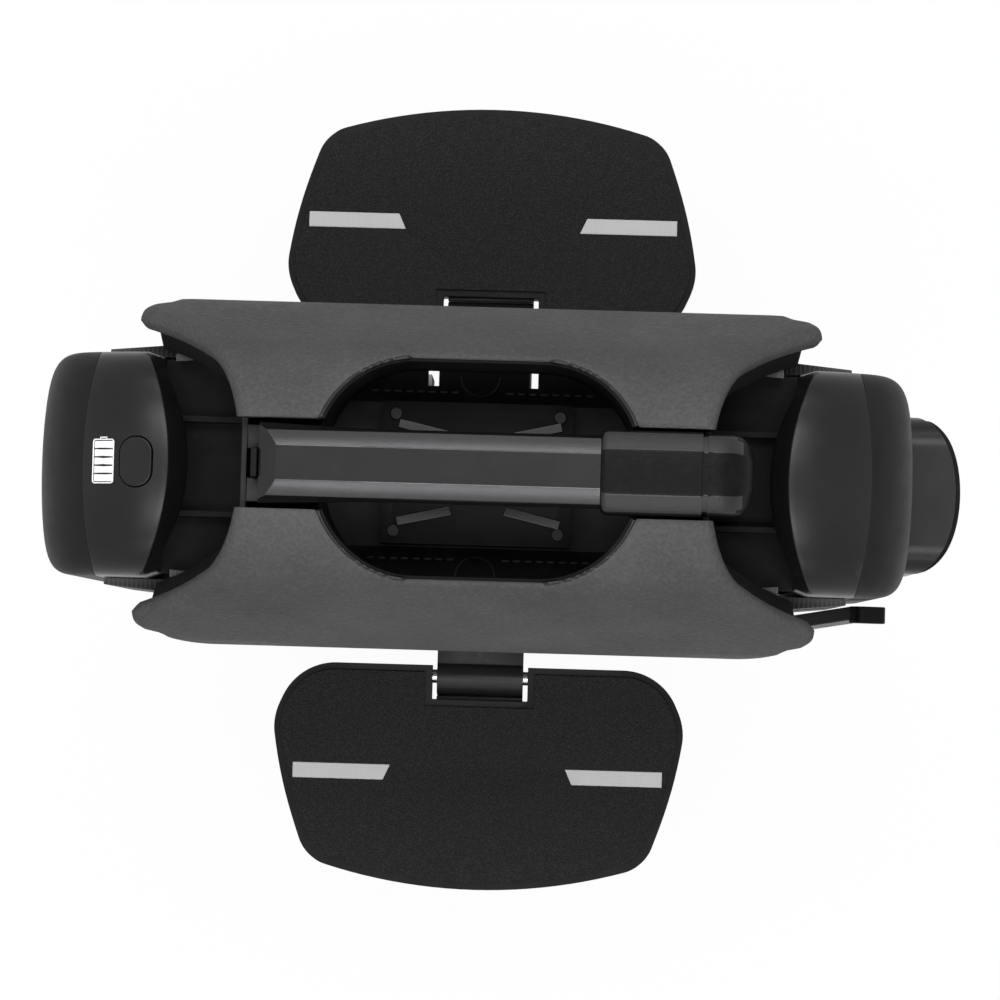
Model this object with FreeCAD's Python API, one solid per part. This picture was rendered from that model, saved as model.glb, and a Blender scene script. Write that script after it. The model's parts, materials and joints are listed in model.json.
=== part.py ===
import FreeCAD, Part
import math
import os

# Electric unicycle with a sprung wheel carriage, folding pedals and a lifting carry handle.
# Millimetres. Origin: where the tyre meets the ground. +X forward, +Y to the rider's left, +Z up.

V = FreeCAD.Vector

# Fits
run_fit = 0.05          # radial clearance of a sliding or turning fit
clear = 0.3             # gap between faces that only pass each other
over = 1.0              # how far a cutting block runs past what it cuts

# Tyre, rim and motor
tyre_r = 230.0
tyre_half_w = 38.0
tyre_wall = 6.0
tyre_h = 52.0           # from the bead seat out to the tread
belly_drop = 5.0
tread_drop = 6.0
tread_in = 12.0
tread_t = 8.0
bead_t = 9.0
crown_drop = 4.0
crown_in = 8.0
rim_half_w = 28.0
flange_t = 5.0
flange_h = 14.0
ring_t = 18.0           # rim barrel, from the bead seat in to the magnets
magnet_t = 8.0
magnet_half_w = 22.0
magnet_count = 28
magnet_fill = 0.9       # share of the ring that the magnets take up
air_gap = 1.5
cover_t = 4.0
cover_lap = 2.0         # hub cover rim stays this far inside the bead seat
hub_screw_count = 8
hub_screw_r = 2.5
hub_screw_len = 12.0
dish_in = 30.0          # hub cover's dished ring, from the bearing and from the rim's barrel
dish_out = 14.0
dish_depth = 1.2
hub_rib_half = 5.0
hub_rib_count = 6
screw_head_h = 3.0
bearing_w = 12.0
bearing_t = 11.0
boss_t = 6.0
valve_r = 3.0
valve_len = 9.0
valve_collar_t = 1.8
valve_collar_h = 2.5
axle_r = 10.0
axle_end = 4.0          # axle stands this far out of its nuts
stator_half_w = 20.0
tooth_count = 24
tooth_w = 13.0
tooth_h = 30.0
tooth_lap = 4.0
coil_t = 3.0
coil_foot = 3.0
coil_head = 6.0
yoke_t = 16.0
web_half = 4.0
stator_hub_t = 14.0

# Wheel carriage
travel = 85.0
hanger_gap = 8.0        # from the tyre side to the hanger plate
hanger_t = 10.0
boss_half = 17.0
boss_h = 75.0
boss_drop = 15.0        # bosses reach this far below the axle
boss_wall = 2.5
hanger_drop = 14.0      # hanger reaches this far below the pedal hinge
hanger_margin = 3.0
bush_t = 3.0
rod_r = 7.0
piston_h = 20.0
lug_h = 18.0
lug_half = 16.0
nut_r = 14.0
nut_h = 10.0
guide_x = 55.0
guide_y = 66.0
guide_r = 10.0
guide_wall = 2.5
foot_h = 12.0
foot_len = 45.0
foot_rise = 4.0         # feet stand this far above the shell's leg ends
foot_margin = 4.0
shock_r = 15.0
shock_wall = 3.0
shock_spare = 6.0       # left above the piston at full travel
shock_gap = 5.0         # left under the cylinder at full travel
shock_cap_t = 2.0
shock_end_t = 8.0

# Pedals
hinge_y = 129.0
hinge_drop = 68.0       # hinge axis below the axle
barrel_r = 13.0
bracket_half = 31.0
arm_t = 18.0
bracket_root_t = 6.0
bracket_bolt_r = 4.0
bracket_bolt_rise = 9.0
bracket_bolt_in = 12.0
bracket_head_r = 6.4
nut_room = 8.0          # between the axle nut and the bracket's root
gusset_h = 14.0
gusset_half = 3.0
pin_r = 5.0
notch_gap = 3.5
pin_hold = 22.0         # length of pin held in the pedal on each side
pedal_half_len = 157.0
pedal_reach = 282.0
pedal_inner_gap = 8.0   # inner pedal edge stands this far inside the hinge axis
pedal_corner_in = 42.0
pedal_corner_out = 25.0
pedal_out_half = 122.0
pedal_bow = 20.0
pedal_root_t = 24.0
pedal_tip_t = 15.0
pad_sheet_t = 2.0
pad_sheet_margin = 5.0
stripe_in = 63.0
stripe_len = 70.0
stripe_w = 11.0
stripe_y = 199.0
stripe_slant = 5.0
stripe_t = 0.6

# Body shell
tyre_gap = 6.0
fender_t = 2.5
fender_side_gap = 4.5
fender_skirt = 34.0
fender_span = 78.0      # degrees each side of the top
upward = 90.0           # degrees from forward to straight up
deck_t = 8.0
deck_gap = 0.5
window_x = 30.0
window_half = 9.0
window_y0 = 50.0
window_y1 = 79.0
bulkhead_x = 145.0
bulkhead_t = 4.0
bulkhead_drop = 54.0
bulkhead_gap = 2.0      # under the upper shells
lane_gap = 2.0          # beside the grip, where it passes the bulkhead and the liner
lane_drop = 3.0
foot_side_gap = 1.0
side_y = 88.0
side_t = 4.0
side_bow = 12.5         # how far the side shell pulls in towards its ends
side_half_len = 238.0
side_top = 43.0         # above the deck
side_lean = 10.0
side_lean_half = 192.0
side_bend = -7.0        # where the lean starts, from the deck
sheet_spare = 0.2       # degrees turned past each end before the outline is cut
shoulder_t = 3.0
shoulder_cut = 12.0
leg_drop = 40.0         # legs end this far below the axle
leg_x0 = 66.0
leg_x1 = 122.0
leg_x2 = 158.0
leg_rise = 25.0
arch_spring_rise = 38.0  # above the axle
arch_top_rise = 115.0
shell_screw_r = 2.5
shell_head_r = 4.5
shell_head_h = 2.5
shell_screw_in = 8.0
shell_screw_len = 10.0

# Knee pads and the shells below them, heights from the deck
pad_t = 13.0
pad_edge_y = 28.0
pad_edge_z = 130.0
pad_shoulder = (57.0, 114.0)
pad_bend = (81.0, 80.0)
pad_flank = (96.5, 40.0)
pad_wide = (109.0, -4.0)
pad_belly = (111.5, -70.0)
pad_hem = (104.0, -142.0)
pad_top_half = 147.0
pad_waist = (172.0, 84.0)
pad_nose = (212.0, 36.0)
pad_tip = (217.0, 24.0)
pad_chin = (205.0, 8.0)
pad_foot_half = 140.0
pad_edge_slope = 0.3    # drop of the top edge for each millimetre of depth
upper_t = 3.0
upper_inset = 26.0
cavity_x0 = -97.0
cavity_x1 = 100.0
cavity_half = 66.5
cavity_corner = 60.0
liner_t = 2.5
liner_low = 8.0
liner_drop = 2.0        # liner's edge under the pad's skin

# End covers, heights from the deck
cover_half = 71.0
cover_wall = 3.0
cover_corner = 48.0
cover_round = 90.0
cover_edge_r = 24.0
cover_steps = 10
cover_top = 88.0
cover_bottom = -230.0
lip_bow_r = 152.0
break_bow_r = 334.0
rear_lip = 181.0
rear_break = 247.0
rear_end = 279.0
front_lip = 184.0
front_break = 248.0
front_end = 278.0
tray_z = 25.0
tray_t = 3.0
tray_reach = 20.0       # tray runs this far under the cover's lip
tray_rib_y = 30.0
tray_rib_half = 2.0
tray_rib_h = 12.0
battery_reach = 8.0     # battery case stops this far inside the end band
battery_gap = 3.0
battery_arch_gap = 2.0
battery_drop = 160.0

# Controller in the hand cavity
box_half_len = 60.0
box_half_w = 45.0
box_h = 36.0
box_wall = 3.0
lid_t = 3.0
board_t = 2.0
lid_screw_r = 2.0
lid_screw_len = 12.0
lid_head_h = 1.6
post_half = 5.0
board_gap = 1.0         # between the board and the screw posts
chip_count = 6
chip_d = 6.0
chip_w = 12.0
chip_h = 8.0
chip_row = -12.0
can_r = 8.0
can_h = 22.0
can_row = 14.0
can_pitch = 22.0

# Carry handle and its lifting mast, heights from the lid or from the handle's top
hand_room = 73.0
bar_h = 26.0
bar_half = 22.5
bar_flat = 12.5
bar_shoulder = 9.0
bar_keel = 16.0
bar_rear = -133.0
bar_bevel = 11.0
grip_x = 77.0
grip_half = 26.0
grip_rise = 2.0
grip_drop = 4.0
grip_nose = 26.0
core_half = 16.0
core_inset = 4.0
core_top = 10.0         # core's top under the handle's, so that the grip's nose covers it
core_end = 3.0
bar_keel_rise = 6.0
grip_front = 3.0        # rubber beyond the mast sleeve
grip_edge_r = 8.0
mast_gap = 1.0
mast_step = 1.0         # each tube's foot stands this far above the next one's
sleeve_d = 24.0
sleeve_w = 34.0
tube_t = 2.0
slide_gap = 0.1
saddle_h = 33.0
saddle_half = 24.0
latch_half = 8.7
latch_t = 3.7
latch_stroke = 2.5
latch_gap = 1.0
latch_h = 34.0
latch_proud = 16.0
latch_lift = 1.0        # latch's foot above its pocket's floor
switch_x = -20.0
switch_len = 40.0
switch_half = 8.0
switch_h = 7.0
switch_proud = 2.0
switch_play = 0.5

# Lamps, buttons, charging
button_x = 212.0
button_len = 31.0
button_w = 21.0
button_t = 9.0
button_proud = 0.6
button_flat = 0.84      # straight stretch left at each end
button_play = 0.3
meter_x = 233.0
meter_len = 26.0
meter_w = 14.0
meter_t = 1.2
meter_bars = 5
meter_gap = 0.3
lamp_half = 52.0
lamp_tip = 317.0
lamp_bow = 18.0         # how far the lamp's sides stand back from its tip
lamp_back = 4.0
lens_inset = 2.0
lamp_low = -202.0
lamp_high = -92.0
lamp_corner = 20.0
lens_t = 3.0
lamp_wall = 8.0
reflector_t = 2.0
tail_half = 20.0
tail_h = 14.0
tail_z = -95.0
tail_proud = 1.5
tail_depth = 2.0
port_r = 11.0
port_depth = 16.0
port_z = -185.0
cap_t = 4.0
cap_margin = 3.0
cap_pin_r = 1.5
cap_knuckle_r = 2.7
cap_plug = 3.0
cap_play = 1.0
port_wall = 3.0
port_floor = 4.0
cap_rise = 1.0
cap_tab_half = 4.0
ear_gap = 0.5
ear_t = 3.5

# Side stand
stand_x = 150.0
stand_rise = 60.0       # pivot above the axle
stand_len = 225.0
stand_angle = 63.0
stand_half = 8.0
stand_t = 9.0
stand_bolt_r = 5.0
stand_head_r = 9.0
stand_head_h = 4.0
stand_gap = 2.0         # between the shell and the folded leg
stand_straight = 100.0  # leg runs straight this far from its pivot
stand_tuck = 1.0        # how far the leg's end closes in on the shell
stand_eye_t = 5.0
stand_base_t = 3.0
shoe_len = 16.0
shoe_t = 2.0
shoe_margin = 3.0
shoe_edge_r = 5.0

# Derived places
axle_z = tyre_r
arch_z = axle_z + travel
arch_r = tyre_r + tyre_gap
deck_z = arch_z + arch_r + fender_t + deck_gap + deck_t
hanger_y = tyre_half_w + hanger_gap
hanger_out = hanger_y + hanger_t
boss_top = axle_z - boss_drop + boss_h
bush_r = guide_r + run_fit + bush_t
boss_y = guide_y + bush_r + boss_wall
leg_z = axle_z - leg_drop
arch_spring_z = axle_z + arch_spring_rise
arch_top_z = axle_z + arch_top_rise
side_end_z = deck_z + cover_bottom
stand_z = axle_z + stand_rise
foot_z = leg_z + foot_rise
foot_x0 = guide_x - guide_r - foot_margin
rim_r = tyre_r - tyre_h
hinge_z = axle_z - hinge_drop
pedal_top = hinge_z + barrel_r
pedal_inner = hinge_y - pedal_inner_gap
notch_half = bracket_half + notch_gap
lid_top = deck_z + box_h + lid_t
bar_z = lid_top + hand_room
handle_top = bar_z + bar_h
mast_x = bulkhead_x + sleeve_d / 2.0
mast_top = bar_z - grip_drop - mast_gap
mast_foot = arch_z + math.sqrt((arch_r + fender_t) ** 2 - bulkhead_x ** 2) + mast_gap
mast_front = mast_x + sleeve_d / 2.0
tube_inset = 2.0 * (tube_t + slide_gap)
side_bow_r = (side_half_len ** 2 + side_bow ** 2) / (2.0 * side_bow)
cover_inner = cover_half - cover_wall


def box(x0, x1, y0, y1, z0, z1):
    return Part.makeBox(x1 - x0, y1 - y0, z1 - z0, V(x0, y0, z0))


def rod(radius, start, end):
    return Part.makeCylinder(radius, (end - start).Length, start, end - start)


def path_wire(path, place):
    # A step of two numbers is a line end; a step of four is an arc's middle and its end.
    edges = []
    here = place(*path[0])
    for step in path[1:] + [path[0]]:
        there = place(*step[-2:])
        if len(step) == 4:
            edges.append(Part.Arc(here, place(*step[:2]), there).toShape())
        elif (there - here).Length > 1e-6:
            edges.append(Part.LineSegment(here, there).toShape())
        here = there
    return Part.Wire(edges)


def slab_xz(path, y0, y1):
    wire = path_wire(path, lambda x, z: V(x, y0, z))
    return Part.Face(wire).extrude(V(0, y1 - y0, 0))


def slab_xy(path, z0, z1):
    wire = path_wire(path, lambda x, y: V(x, y, z0))
    return Part.Face(wire).extrude(V(0, 0, z1 - z0))


def slab_yz(path, x0, x1):
    wire = path_wire(path, lambda y, z: V(x0, y, z))
    return Part.Face(wire).extrude(V(x1 - x0, 0, 0))


def turned(path, start=0.0, sweep=360.0, z=axle_z):
    # Section given as radius and Y, turned about the wheel's axis.
    face = Part.Face(path_wire(path, lambda r, y: V(r, y, z)))
    face.rotate(V(0, 0, z), V(0, 1, 0), -start)
    return face.revolve(V(0, 0, z), V(0, 1, 0), -sweep)


def ring_y(r_in, r_out, y0, y1, x=0.0, z=axle_z):
    outer = rod(r_out, V(x, y0, z), V(x, y1, z))
    return outer.cut(rod(r_in, V(x, y0, z), V(x, y1, z)))


def ring_z(r_in, r_out, x, y, z0, z1):
    outer = rod(r_out, V(x, y, z0), V(x, y, z1))
    return outer.cut(rod(r_in, V(x, y, z0), V(x, y, z1)))


def mirror_y(shape):
    return shape.mirror(V(0, 0, 0), V(0, 1, 0))


def mirror_x(shape):
    return shape.mirror(V(0, 0, 0), V(1, 0, 0))


def both_sides(shape):
    return [shape, mirror_y(shape)]


def stadium(x0, x1, half, corner, z0, z1):
    block = box(x0, x1, -half, half, z0, z1)
    return block.makeFillet(corner, upright_edges(block))


def upright_edges(shape):
    return [e for e in shape.Edges if abs(e.BoundBox.ZLength - shape.BoundBox.ZLength) < 1e-6]


# Wheel

def tyre():
    bead = rim_half_w - clear
    seat = rim_r
    shoulder = rim_r + flange_h + clear
    belly = (tyre_r + shoulder) / 2.0 - belly_drop
    tread = tyre_r - tread_drop
    tread_y = tyre_half_w - tread_in
    outer = [(seat, bead), (shoulder, bead), (belly, tyre_half_w, tread, tread_y)]
    outer += [(tyre_r, 0.0, tread, -tread_y), (belly, -tyre_half_w, shoulder, -bead), (seat, -bead)]
    lip = bead - bead_t
    inside = tyre_half_w - tyre_wall
    crown = tyre_r - tread_t
    crown_edge = crown - crown_drop
    crown_y = tread_y - crown_in
    inner = [(seat, -lip), (shoulder, -lip), (belly, -inside, crown_edge, -crown_y)]
    inner += [(crown, 0.0, crown_edge, crown_y), (belly, inside, shoulder, lip), (seat, lip)]
    return turned(outer + inner)


def rim():
    edge = rim_half_w + flange_t
    bore = rim_r - ring_t
    top = rim_r + flange_h
    path = [(bore, -edge), (top, -edge), (top, -rim_half_w), (rim_r, -rim_half_w)]
    path += [(rim_r, rim_half_w), (top, rim_half_w), (top, edge), (bore, edge)]
    solid = turned(path)
    for hole in hub_screw_shanks():
        solid = solid.cut(hole)
    return solid.cut(valve_hole())


def hub_screw_places():
    radius = rim_r - ring_t / 2.0
    for i in range(hub_screw_count):
        angle = 2.0 * math.pi * (i + 0.5) / hub_screw_count
        yield radius * math.cos(angle), axle_z + radius * math.sin(angle)


def hub_screw_shanks():
    reach = rim_half_w + flange_t
    shanks = []
    for x, z in hub_screw_places():
        shank = rod(hub_screw_r, V(x, reach - hub_screw_len, z), V(x, reach + cover_t, z))
        shanks += both_sides(shank)
    return shanks


def hub_cover_screws():
    outer = rim_half_w + flange_t + cover_t
    heads = []
    for x, z in hub_screw_places():
        heads += both_sides(rod(2.0 * hub_screw_r, V(x, outer, z), V(x, outer + screw_head_h, z)))
    shanks = hub_screw_shanks()
    return Part.Compound([head.fuse(shank) for head, shank in zip(heads, shanks)])


def hub_cover():
    seat = rim_half_w + flange_t
    bearing_out = axle_r + run_fit + bearing_t
    disc = rod(rim_r - cover_lap, V(0, seat, axle_z), V(0, seat + cover_t, axle_z))
    boss = rod(bearing_out + boss_t, V(0, seat + cover_t - bearing_w, axle_z), V(0, seat, axle_z))
    dish_r = rim_r - ring_t - dish_out
    face = seat + cover_t
    dish = ring_y(bearing_out + dish_in, dish_r, face - dish_depth, face)
    for i in range(hub_rib_count):
        rib = box(bearing_out, rim_r, seat, face, axle_z - hub_rib_half, axle_z + hub_rib_half)
        rib.rotate(V(0, 0, axle_z), V(0, 1, 0), 360.0 * i / hub_rib_count)
        dish = dish.cut(rib)
    solid = disc.fuse(boss).cut(dish)
    solid = solid.cut(rod(bearing_out, V(0, seat - bearing_w, axle_z), V(0, seat + cover_t, axle_z)))
    for hole in hub_screw_shanks():
        solid = solid.cut(hole)
    return solid


def wheel_bearings():
    outer = rim_half_w + flange_t + cover_t
    ring = ring_y(axle_r + run_fit, axle_r + run_fit + bearing_t, outer - bearing_w, outer)
    return Part.Compound(both_sides(ring))


def magnet_ring():
    outer = rim_r - ring_t
    pitch = 360.0 / magnet_count
    path = [(outer - magnet_t, -magnet_half_w), (outer, -magnet_half_w)]
    path += [(outer, magnet_half_w), (outer - magnet_t, magnet_half_w)]
    return Part.Compound([turned(path, i * pitch, pitch * magnet_fill) for i in range(magnet_count)])


def valve_line():
    radius = rim_r + flange_h / 2.0
    return V(0, rim_half_w, axle_z + radius), V(0, rim_half_w + flange_t + valve_len, axle_z + radius)


def valve_hole():
    start, end = valve_line()
    return rod(valve_r, start, end)


def valve_stem():
    start, end = valve_line()
    seat = V(start.x, rim_half_w + flange_t, start.z)
    collar = rod(valve_r + valve_collar_t, seat, seat + V(0, valve_collar_h, 0))
    return rod(valve_r, start, end).fuse(collar)


# Carriage

def axle():
    reach = hanger_out + nut_h + axle_end
    return rod(axle_r, V(0, -reach, axle_z), V(0, reach, axle_z))


def tooth_block(r0, r1, half_x, half_y, turn):
    block = box(-half_x, half_x, -half_y, half_y, axle_z + r0, axle_z + r1)
    block.rotate(V(0, 0, axle_z), V(0, 1, 0), turn)
    return block


def stator_core():
    outer = rim_r - ring_t - magnet_t - air_gap
    yoke = outer - tooth_h
    core = ring_y(yoke - yoke_t, yoke, -stator_half_w, stator_half_w)
    core = core.fuse(ring_y(axle_r, yoke, -web_half, web_half))
    core = core.fuse(ring_y(axle_r, axle_r + stator_hub_t, -stator_half_w, stator_half_w))
    teeth = []
    for i in range(tooth_count):
        turn = 360.0 * i / tooth_count
        teeth.append(tooth_block(yoke - tooth_lap, outer + tooth_lap, tooth_w / 2.0, stator_half_w, turn))
    limit = rod(outer, V(0, -stator_half_w, axle_z), V(0, stator_half_w, axle_z))
    return core.fuse(teeth).common(limit)


def stator_coils():
    outer = rim_r - ring_t - magnet_t - air_gap
    low = outer - tooth_h + coil_foot
    high = outer - coil_head
    coils = []
    for i in range(tooth_count):
        turn = 360.0 * i / tooth_count
        wound = tooth_block(low, high, tooth_w / 2.0 + coil_t, stator_half_w + coil_t, turn)
        coils.append(wound.cut(tooth_block(low, high, tooth_w / 2.0, stator_half_w, turn)))
    return Part.Compound(coils)


def hanger():
    wide = guide_x + boss_half
    low = hinge_z - hanger_drop
    boss_low = boss_top - boss_h
    path = [(-wide, boss_low), (-wide, boss_top), (wide, boss_top), (wide, boss_low)]
    path += [(bracket_half + hanger_margin, low), (-bracket_half - hanger_margin, low)]
    solid = slab_xz(path, hanger_y, hanger_out)
    for x in (-guide_x, guide_x):
        solid = solid.fuse(box(x - boss_half, x + boss_half, hanger_out, boss_y, boss_low, boss_top))
    solid = solid.fuse(box(-lug_half, lug_half, hanger_out, guide_y + lug_half, boss_top - lug_h, boss_top))
    for x in (-guide_x, guide_x):
        solid = solid.cut(rod(bush_r, V(x, guide_y, boss_low), V(x, guide_y, boss_top)))
    solid = solid.cut(rod(rod_r, V(0, guide_y, boss_top - lug_h), V(0, guide_y, boss_top)))
    solid = solid.cut(rod(axle_r, V(0, hanger_y, axle_z), V(0, hanger_out, axle_z)))
    for x, z in bracket_bolt_places():
        solid = solid.cut(rod(bracket_bolt_r, V(x, hanger_y, z), V(x, hanger_out, z)))
    return solid.removeSplitter()


def guide_bushes():
    rings = []
    for side in (-1, 1):
        ring = ring_z(guide_r + run_fit, bush_r, side * guide_x, guide_y, boss_top - boss_h, boss_top)
        rings += both_sides(ring)
    return Part.Compound(rings)


def axle_nuts():
    start = V(0, hanger_out, axle_z)
    nut = Part.makePolygon([V(nut_r * math.cos(math.pi * i / 3.0), hanger_out,
                              axle_z + nut_r * math.sin(math.pi * i / 3.0)) for i in range(7)])
    solid = Part.Face(nut).extrude(V(0, nut_h, 0))
    return both_sides(solid.cut(rod(axle_r, start, start + V(0, nut_h, 0))))


def shock_rods():
    piston_top = shock_bore_top() - travel - shock_spare
    low = boss_top - lug_h
    shaft = rod(rod_r, V(0, guide_y, low), V(0, guide_y, piston_top))
    head_r = shock_r - shock_wall - run_fit
    head = rod(head_r, V(0, guide_y, piston_top - piston_h), V(0, guide_y, piston_top))
    return Part.Compound(both_sides(shaft.fuse(head)))


def shock_low():
    return boss_top + travel + shock_gap


def shock_bore_top():
    return deck_z - deck_t - shock_cap_t


def bracket_bolt_places():
    z = (hinge_z + axle_z - nut_r) / 2.0 + bracket_bolt_rise
    x = bracket_half - bracket_bolt_in
    return [(-x, z), (x, z)]


def pedal_bracket():
    half = bracket_half
    root_y = hanger_out + bracket_root_t
    root_top = axle_z - nut_r - nut_room
    root = box(-half, half, hanger_out, root_y, hinge_z - hanger_drop, root_top)
    arm_top = hinge_z + arm_t / 2.0
    arm = box(-half, half, hanger_out, hinge_y, hinge_z - arm_t / 2.0, arm_top)
    barrel = rod(barrel_r, V(-half, hinge_y, hinge_z), V(half, hinge_y, hinge_z))
    rise = arm_top + gusset_h
    web = [(hanger_out, hinge_z), (hinge_y - barrel_r, arm_top), (root_y, rise), (hanger_out, rise)]
    gusset = slab_yz(web, -gusset_half, gusset_half)
    solid = root.fuse([arm, barrel, gusset])
    solid = solid.cut(rod(pin_r, V(-half, hinge_y, hinge_z), V(half, hinge_y, hinge_z)))
    for x, z in bracket_bolt_places():
        solid = solid.cut(rod(bracket_bolt_r, V(x, hanger_out, z), V(x, root_y, z)))
    return solid.removeSplitter()


def bracket_bolts():
    bolts = []
    face = hanger_out + bracket_root_t
    for x, z in bracket_bolt_places():
        shank = rod(bracket_bolt_r, V(x, hanger_y, z), V(x, face, z))
        head = rod(bracket_head_r, V(x, face, z), V(x, face + bracket_bolt_r, z))
        bolts += both_sides(shank.fuse(head))
    return bolts


def pedal_pins():
    reach = notch_half + pin_hold
    pin = rod(pin_r, V(-reach, hinge_y, hinge_z), V(reach, hinge_y, hinge_z))
    return Part.Compound(both_sides(pin))


# Pedals

def pedal_slab(margin, z0, z1):
    half = pedal_half_len - margin
    out_half = pedal_out_half - margin
    low = pedal_inner + margin
    high = pedal_reach - margin
    bow = high - pedal_bow
    slab = slab_xy([(-half, low), (half, low), (out_half, bow), (0.0, high, -out_half, bow)], z0, z1)
    middle = (low + high) / 2.0
    inner = [e for e in upright_edges(slab) if e.BoundBox.YMax < middle]
    slab = slab.makeFillet(pedal_corner_in - margin, inner)
    outer = [e for e in upright_edges(slab) if e.BoundBox.YMin > bow - over and e.BoundBox.YLength < 1e-6]
    return slab.makeFillet(pedal_corner_out - margin, outer)


def hinge_notch(margin):
    half = notch_half + margin
    edge = hinge_y + barrel_r + notch_gap + margin
    return box(-half, half, pedal_inner - over, edge, pedal_top - 2.0 * pedal_root_t, pedal_top + over)


def pedal_plate():
    top = pedal_top - pad_sheet_t
    root = top - pedal_root_t
    slab = pedal_slab(0.0, root, top)
    section = [(pedal_inner - over, root), (hinge_y + barrel_r, root)]
    section += [(pedal_reach + over, top - pedal_tip_t), (pedal_reach + over, top), (pedal_inner - over, top)]
    wedge = slab_yz(section, -pedal_half_len, pedal_half_len)
    solid = slab.common(wedge).cut(hinge_notch(0.0))
    reach = notch_half + pin_hold + clear
    return solid.cut(rod(pin_r + run_fit, V(-reach, hinge_y, hinge_z), V(reach, hinge_y, hinge_z)))


def stripe(side):
    near = side * stripe_in
    far = side * (stripe_in + stripe_len)
    low = stripe_y - stripe_w / 2.0
    high = stripe_y + stripe_w / 2.0
    path = [(near, low), (far, low), (far, high), (near + side * stripe_slant, high)]
    return slab_xy(path, pedal_top - stripe_t, pedal_top)


def pedal_grip():
    sheet = pedal_slab(pad_sheet_margin, pedal_top - pad_sheet_t, pedal_top)
    return sheet.cut(hinge_notch(pad_sheet_margin)).cut(stripe(1)).cut(stripe(-1))


def pedal_stripes():
    return Part.Compound([stripe(1), stripe(-1)])


# Frame, guides and fender

def main_frame():
    wide = side_inner_y(bulkhead_x) - side_lean - clear
    deck = box(-bulkhead_x, bulkhead_x, -wide, wide, deck_z - deck_t, deck_z)
    top = pad_edge_z - pad_t - upper_t - bulkhead_gap
    for side in (-1, 1):
        x0 = min(side * bulkhead_x, side * (bulkhead_x - bulkhead_t))
        wall = box(x0, x0 + bulkhead_t, -wide, wide, deck_z - bulkhead_drop, deck_z + top)
        deck = deck.fuse(wall.common(under_pads(pad_t + upper_t + clear)))
        for hole in deck_holes(side):
            deck = deck.cut(hole)
    lane = grip_half + lane_gap
    deck = deck.cut(box(-bulkhead_x, bulkhead_x, -lane, lane, mast_top, handle_top))
    return deck.fuse(handle_saddle()).removeSplitter()


def deck_holes(side):
    # Windows, guide tubes and shocks on the front or the rear half of the deck.
    low = deck_z - deck_t
    x = side * window_x
    window = box(x - window_half, x + window_half, window_y0, window_y1, low, deck_z)
    guide = rod(guide_r, V(side * guide_x, guide_y, low), V(side * guide_x, guide_y, deck_z))
    shock = rod(shock_r, V(0, guide_y, low), V(0, guide_y, deck_z))
    return both_sides(window) + both_sides(guide) + both_sides(shock)


def guide_tubes():
    tubes = []
    for side in (-1, 1):
        tubes += both_sides(ring_z(guide_r - guide_wall, guide_r, side * guide_x, guide_y, foot_z, deck_z))
    return Part.Compound(tubes)


def guide_feet():
    feet = []
    top = foot_z + foot_h
    y1 = side_inner_y(foot_x0 + foot_len) - clear
    block = box(foot_x0, foot_x0 + foot_len, hanger_out + foot_side_gap, y1, foot_z, top)
    block = block.cut(rod(guide_r, V(guide_x, guide_y, foot_z), V(guide_x, guide_y, top)))
    for foot in (block, mirror_x(block)):
        feet += both_sides(foot)
    for shank in shell_screw_shanks():
        feet = [foot.cut(shank) for foot in feet]
    return Part.Compound(feet)


def shock_cylinders():
    low = shock_low()
    bore = shock_r - shock_wall
    body = rod(shock_r, V(0, guide_y, low), V(0, guide_y, deck_z))
    body = body.cut(rod(bore, V(0, guide_y, low + shock_end_t), V(0, guide_y, shock_bore_top())))
    body = body.cut(rod(rod_r + run_fit, V(0, guide_y, low), V(0, guide_y, low + shock_end_t)))
    return Part.Compound(both_sides(body))


def inner_fender():
    outer = arch_r + fender_t
    half = tyre_half_w + fender_side_gap
    edge = half + fender_t
    low = outer - fender_skirt
    path = [(low, -edge), (outer, -edge), (outer, edge), (low, edge)]
    path += [(low, half), (arch_r, half), (arch_r, -half), (low, -half)]
    return turned(path, upward - fender_span, 2.0 * fender_span, arch_z)


# Side shells

def side_inner_y(x):
    return side_y - side_t - side_bow_r + math.sqrt(side_bow_r ** 2 - x ** 2)


def side_sheet():
    bend = deck_z + side_bend
    top = deck_z + side_top
    section = [(side_y, leg_z), (side_y, bend), (side_y - side_lean, top)]
    section += [(side_y - side_lean - side_t, top), (side_y - side_t, bend), (side_y - side_t, leg_z)]
    centre = V(0, side_y - side_bow_r, 0)
    face = Part.Face(path_wire(section, lambda y, z: V(0, y, z)))
    half_turn = math.degrees(math.asin(side_half_len / side_bow_r)) + sheet_spare
    face.rotate(centre, V(0, 0, 1), -half_turn)
    return face.revolve(centre, V(0, 0, 1), 2.0 * half_turn)


def side_shell():
    top = deck_z + side_top
    half = side_half_len
    bend = deck_z + side_bend
    outline = [(-half, bend), (-side_lean_half, bend), (-side_lean_half, top), (side_lean_half, top)]
    outline += [(side_lean_half, bend), (half, bend), (half, side_end_z)]
    outline += [(leg_x2, leg_z + leg_rise), (leg_x1, leg_z)]
    outline += [(leg_x0, leg_z), (leg_x0, arch_spring_z), (0.0, arch_top_z, -leg_x0, arch_spring_z)]
    outline += [(-leg_x0, leg_z), (-leg_x1, leg_z), (-leg_x2, leg_z + leg_rise), (-half, side_end_z)]
    solid = side_sheet().common(slab_xz(outline, 0.0, side_y + over))
    solid = solid.fuse([shoulder(1), shoulder(-1)]).removeSplitter()
    for shank in shell_screw_shanks():
        solid = solid.cut(shank)
    return solid


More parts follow.
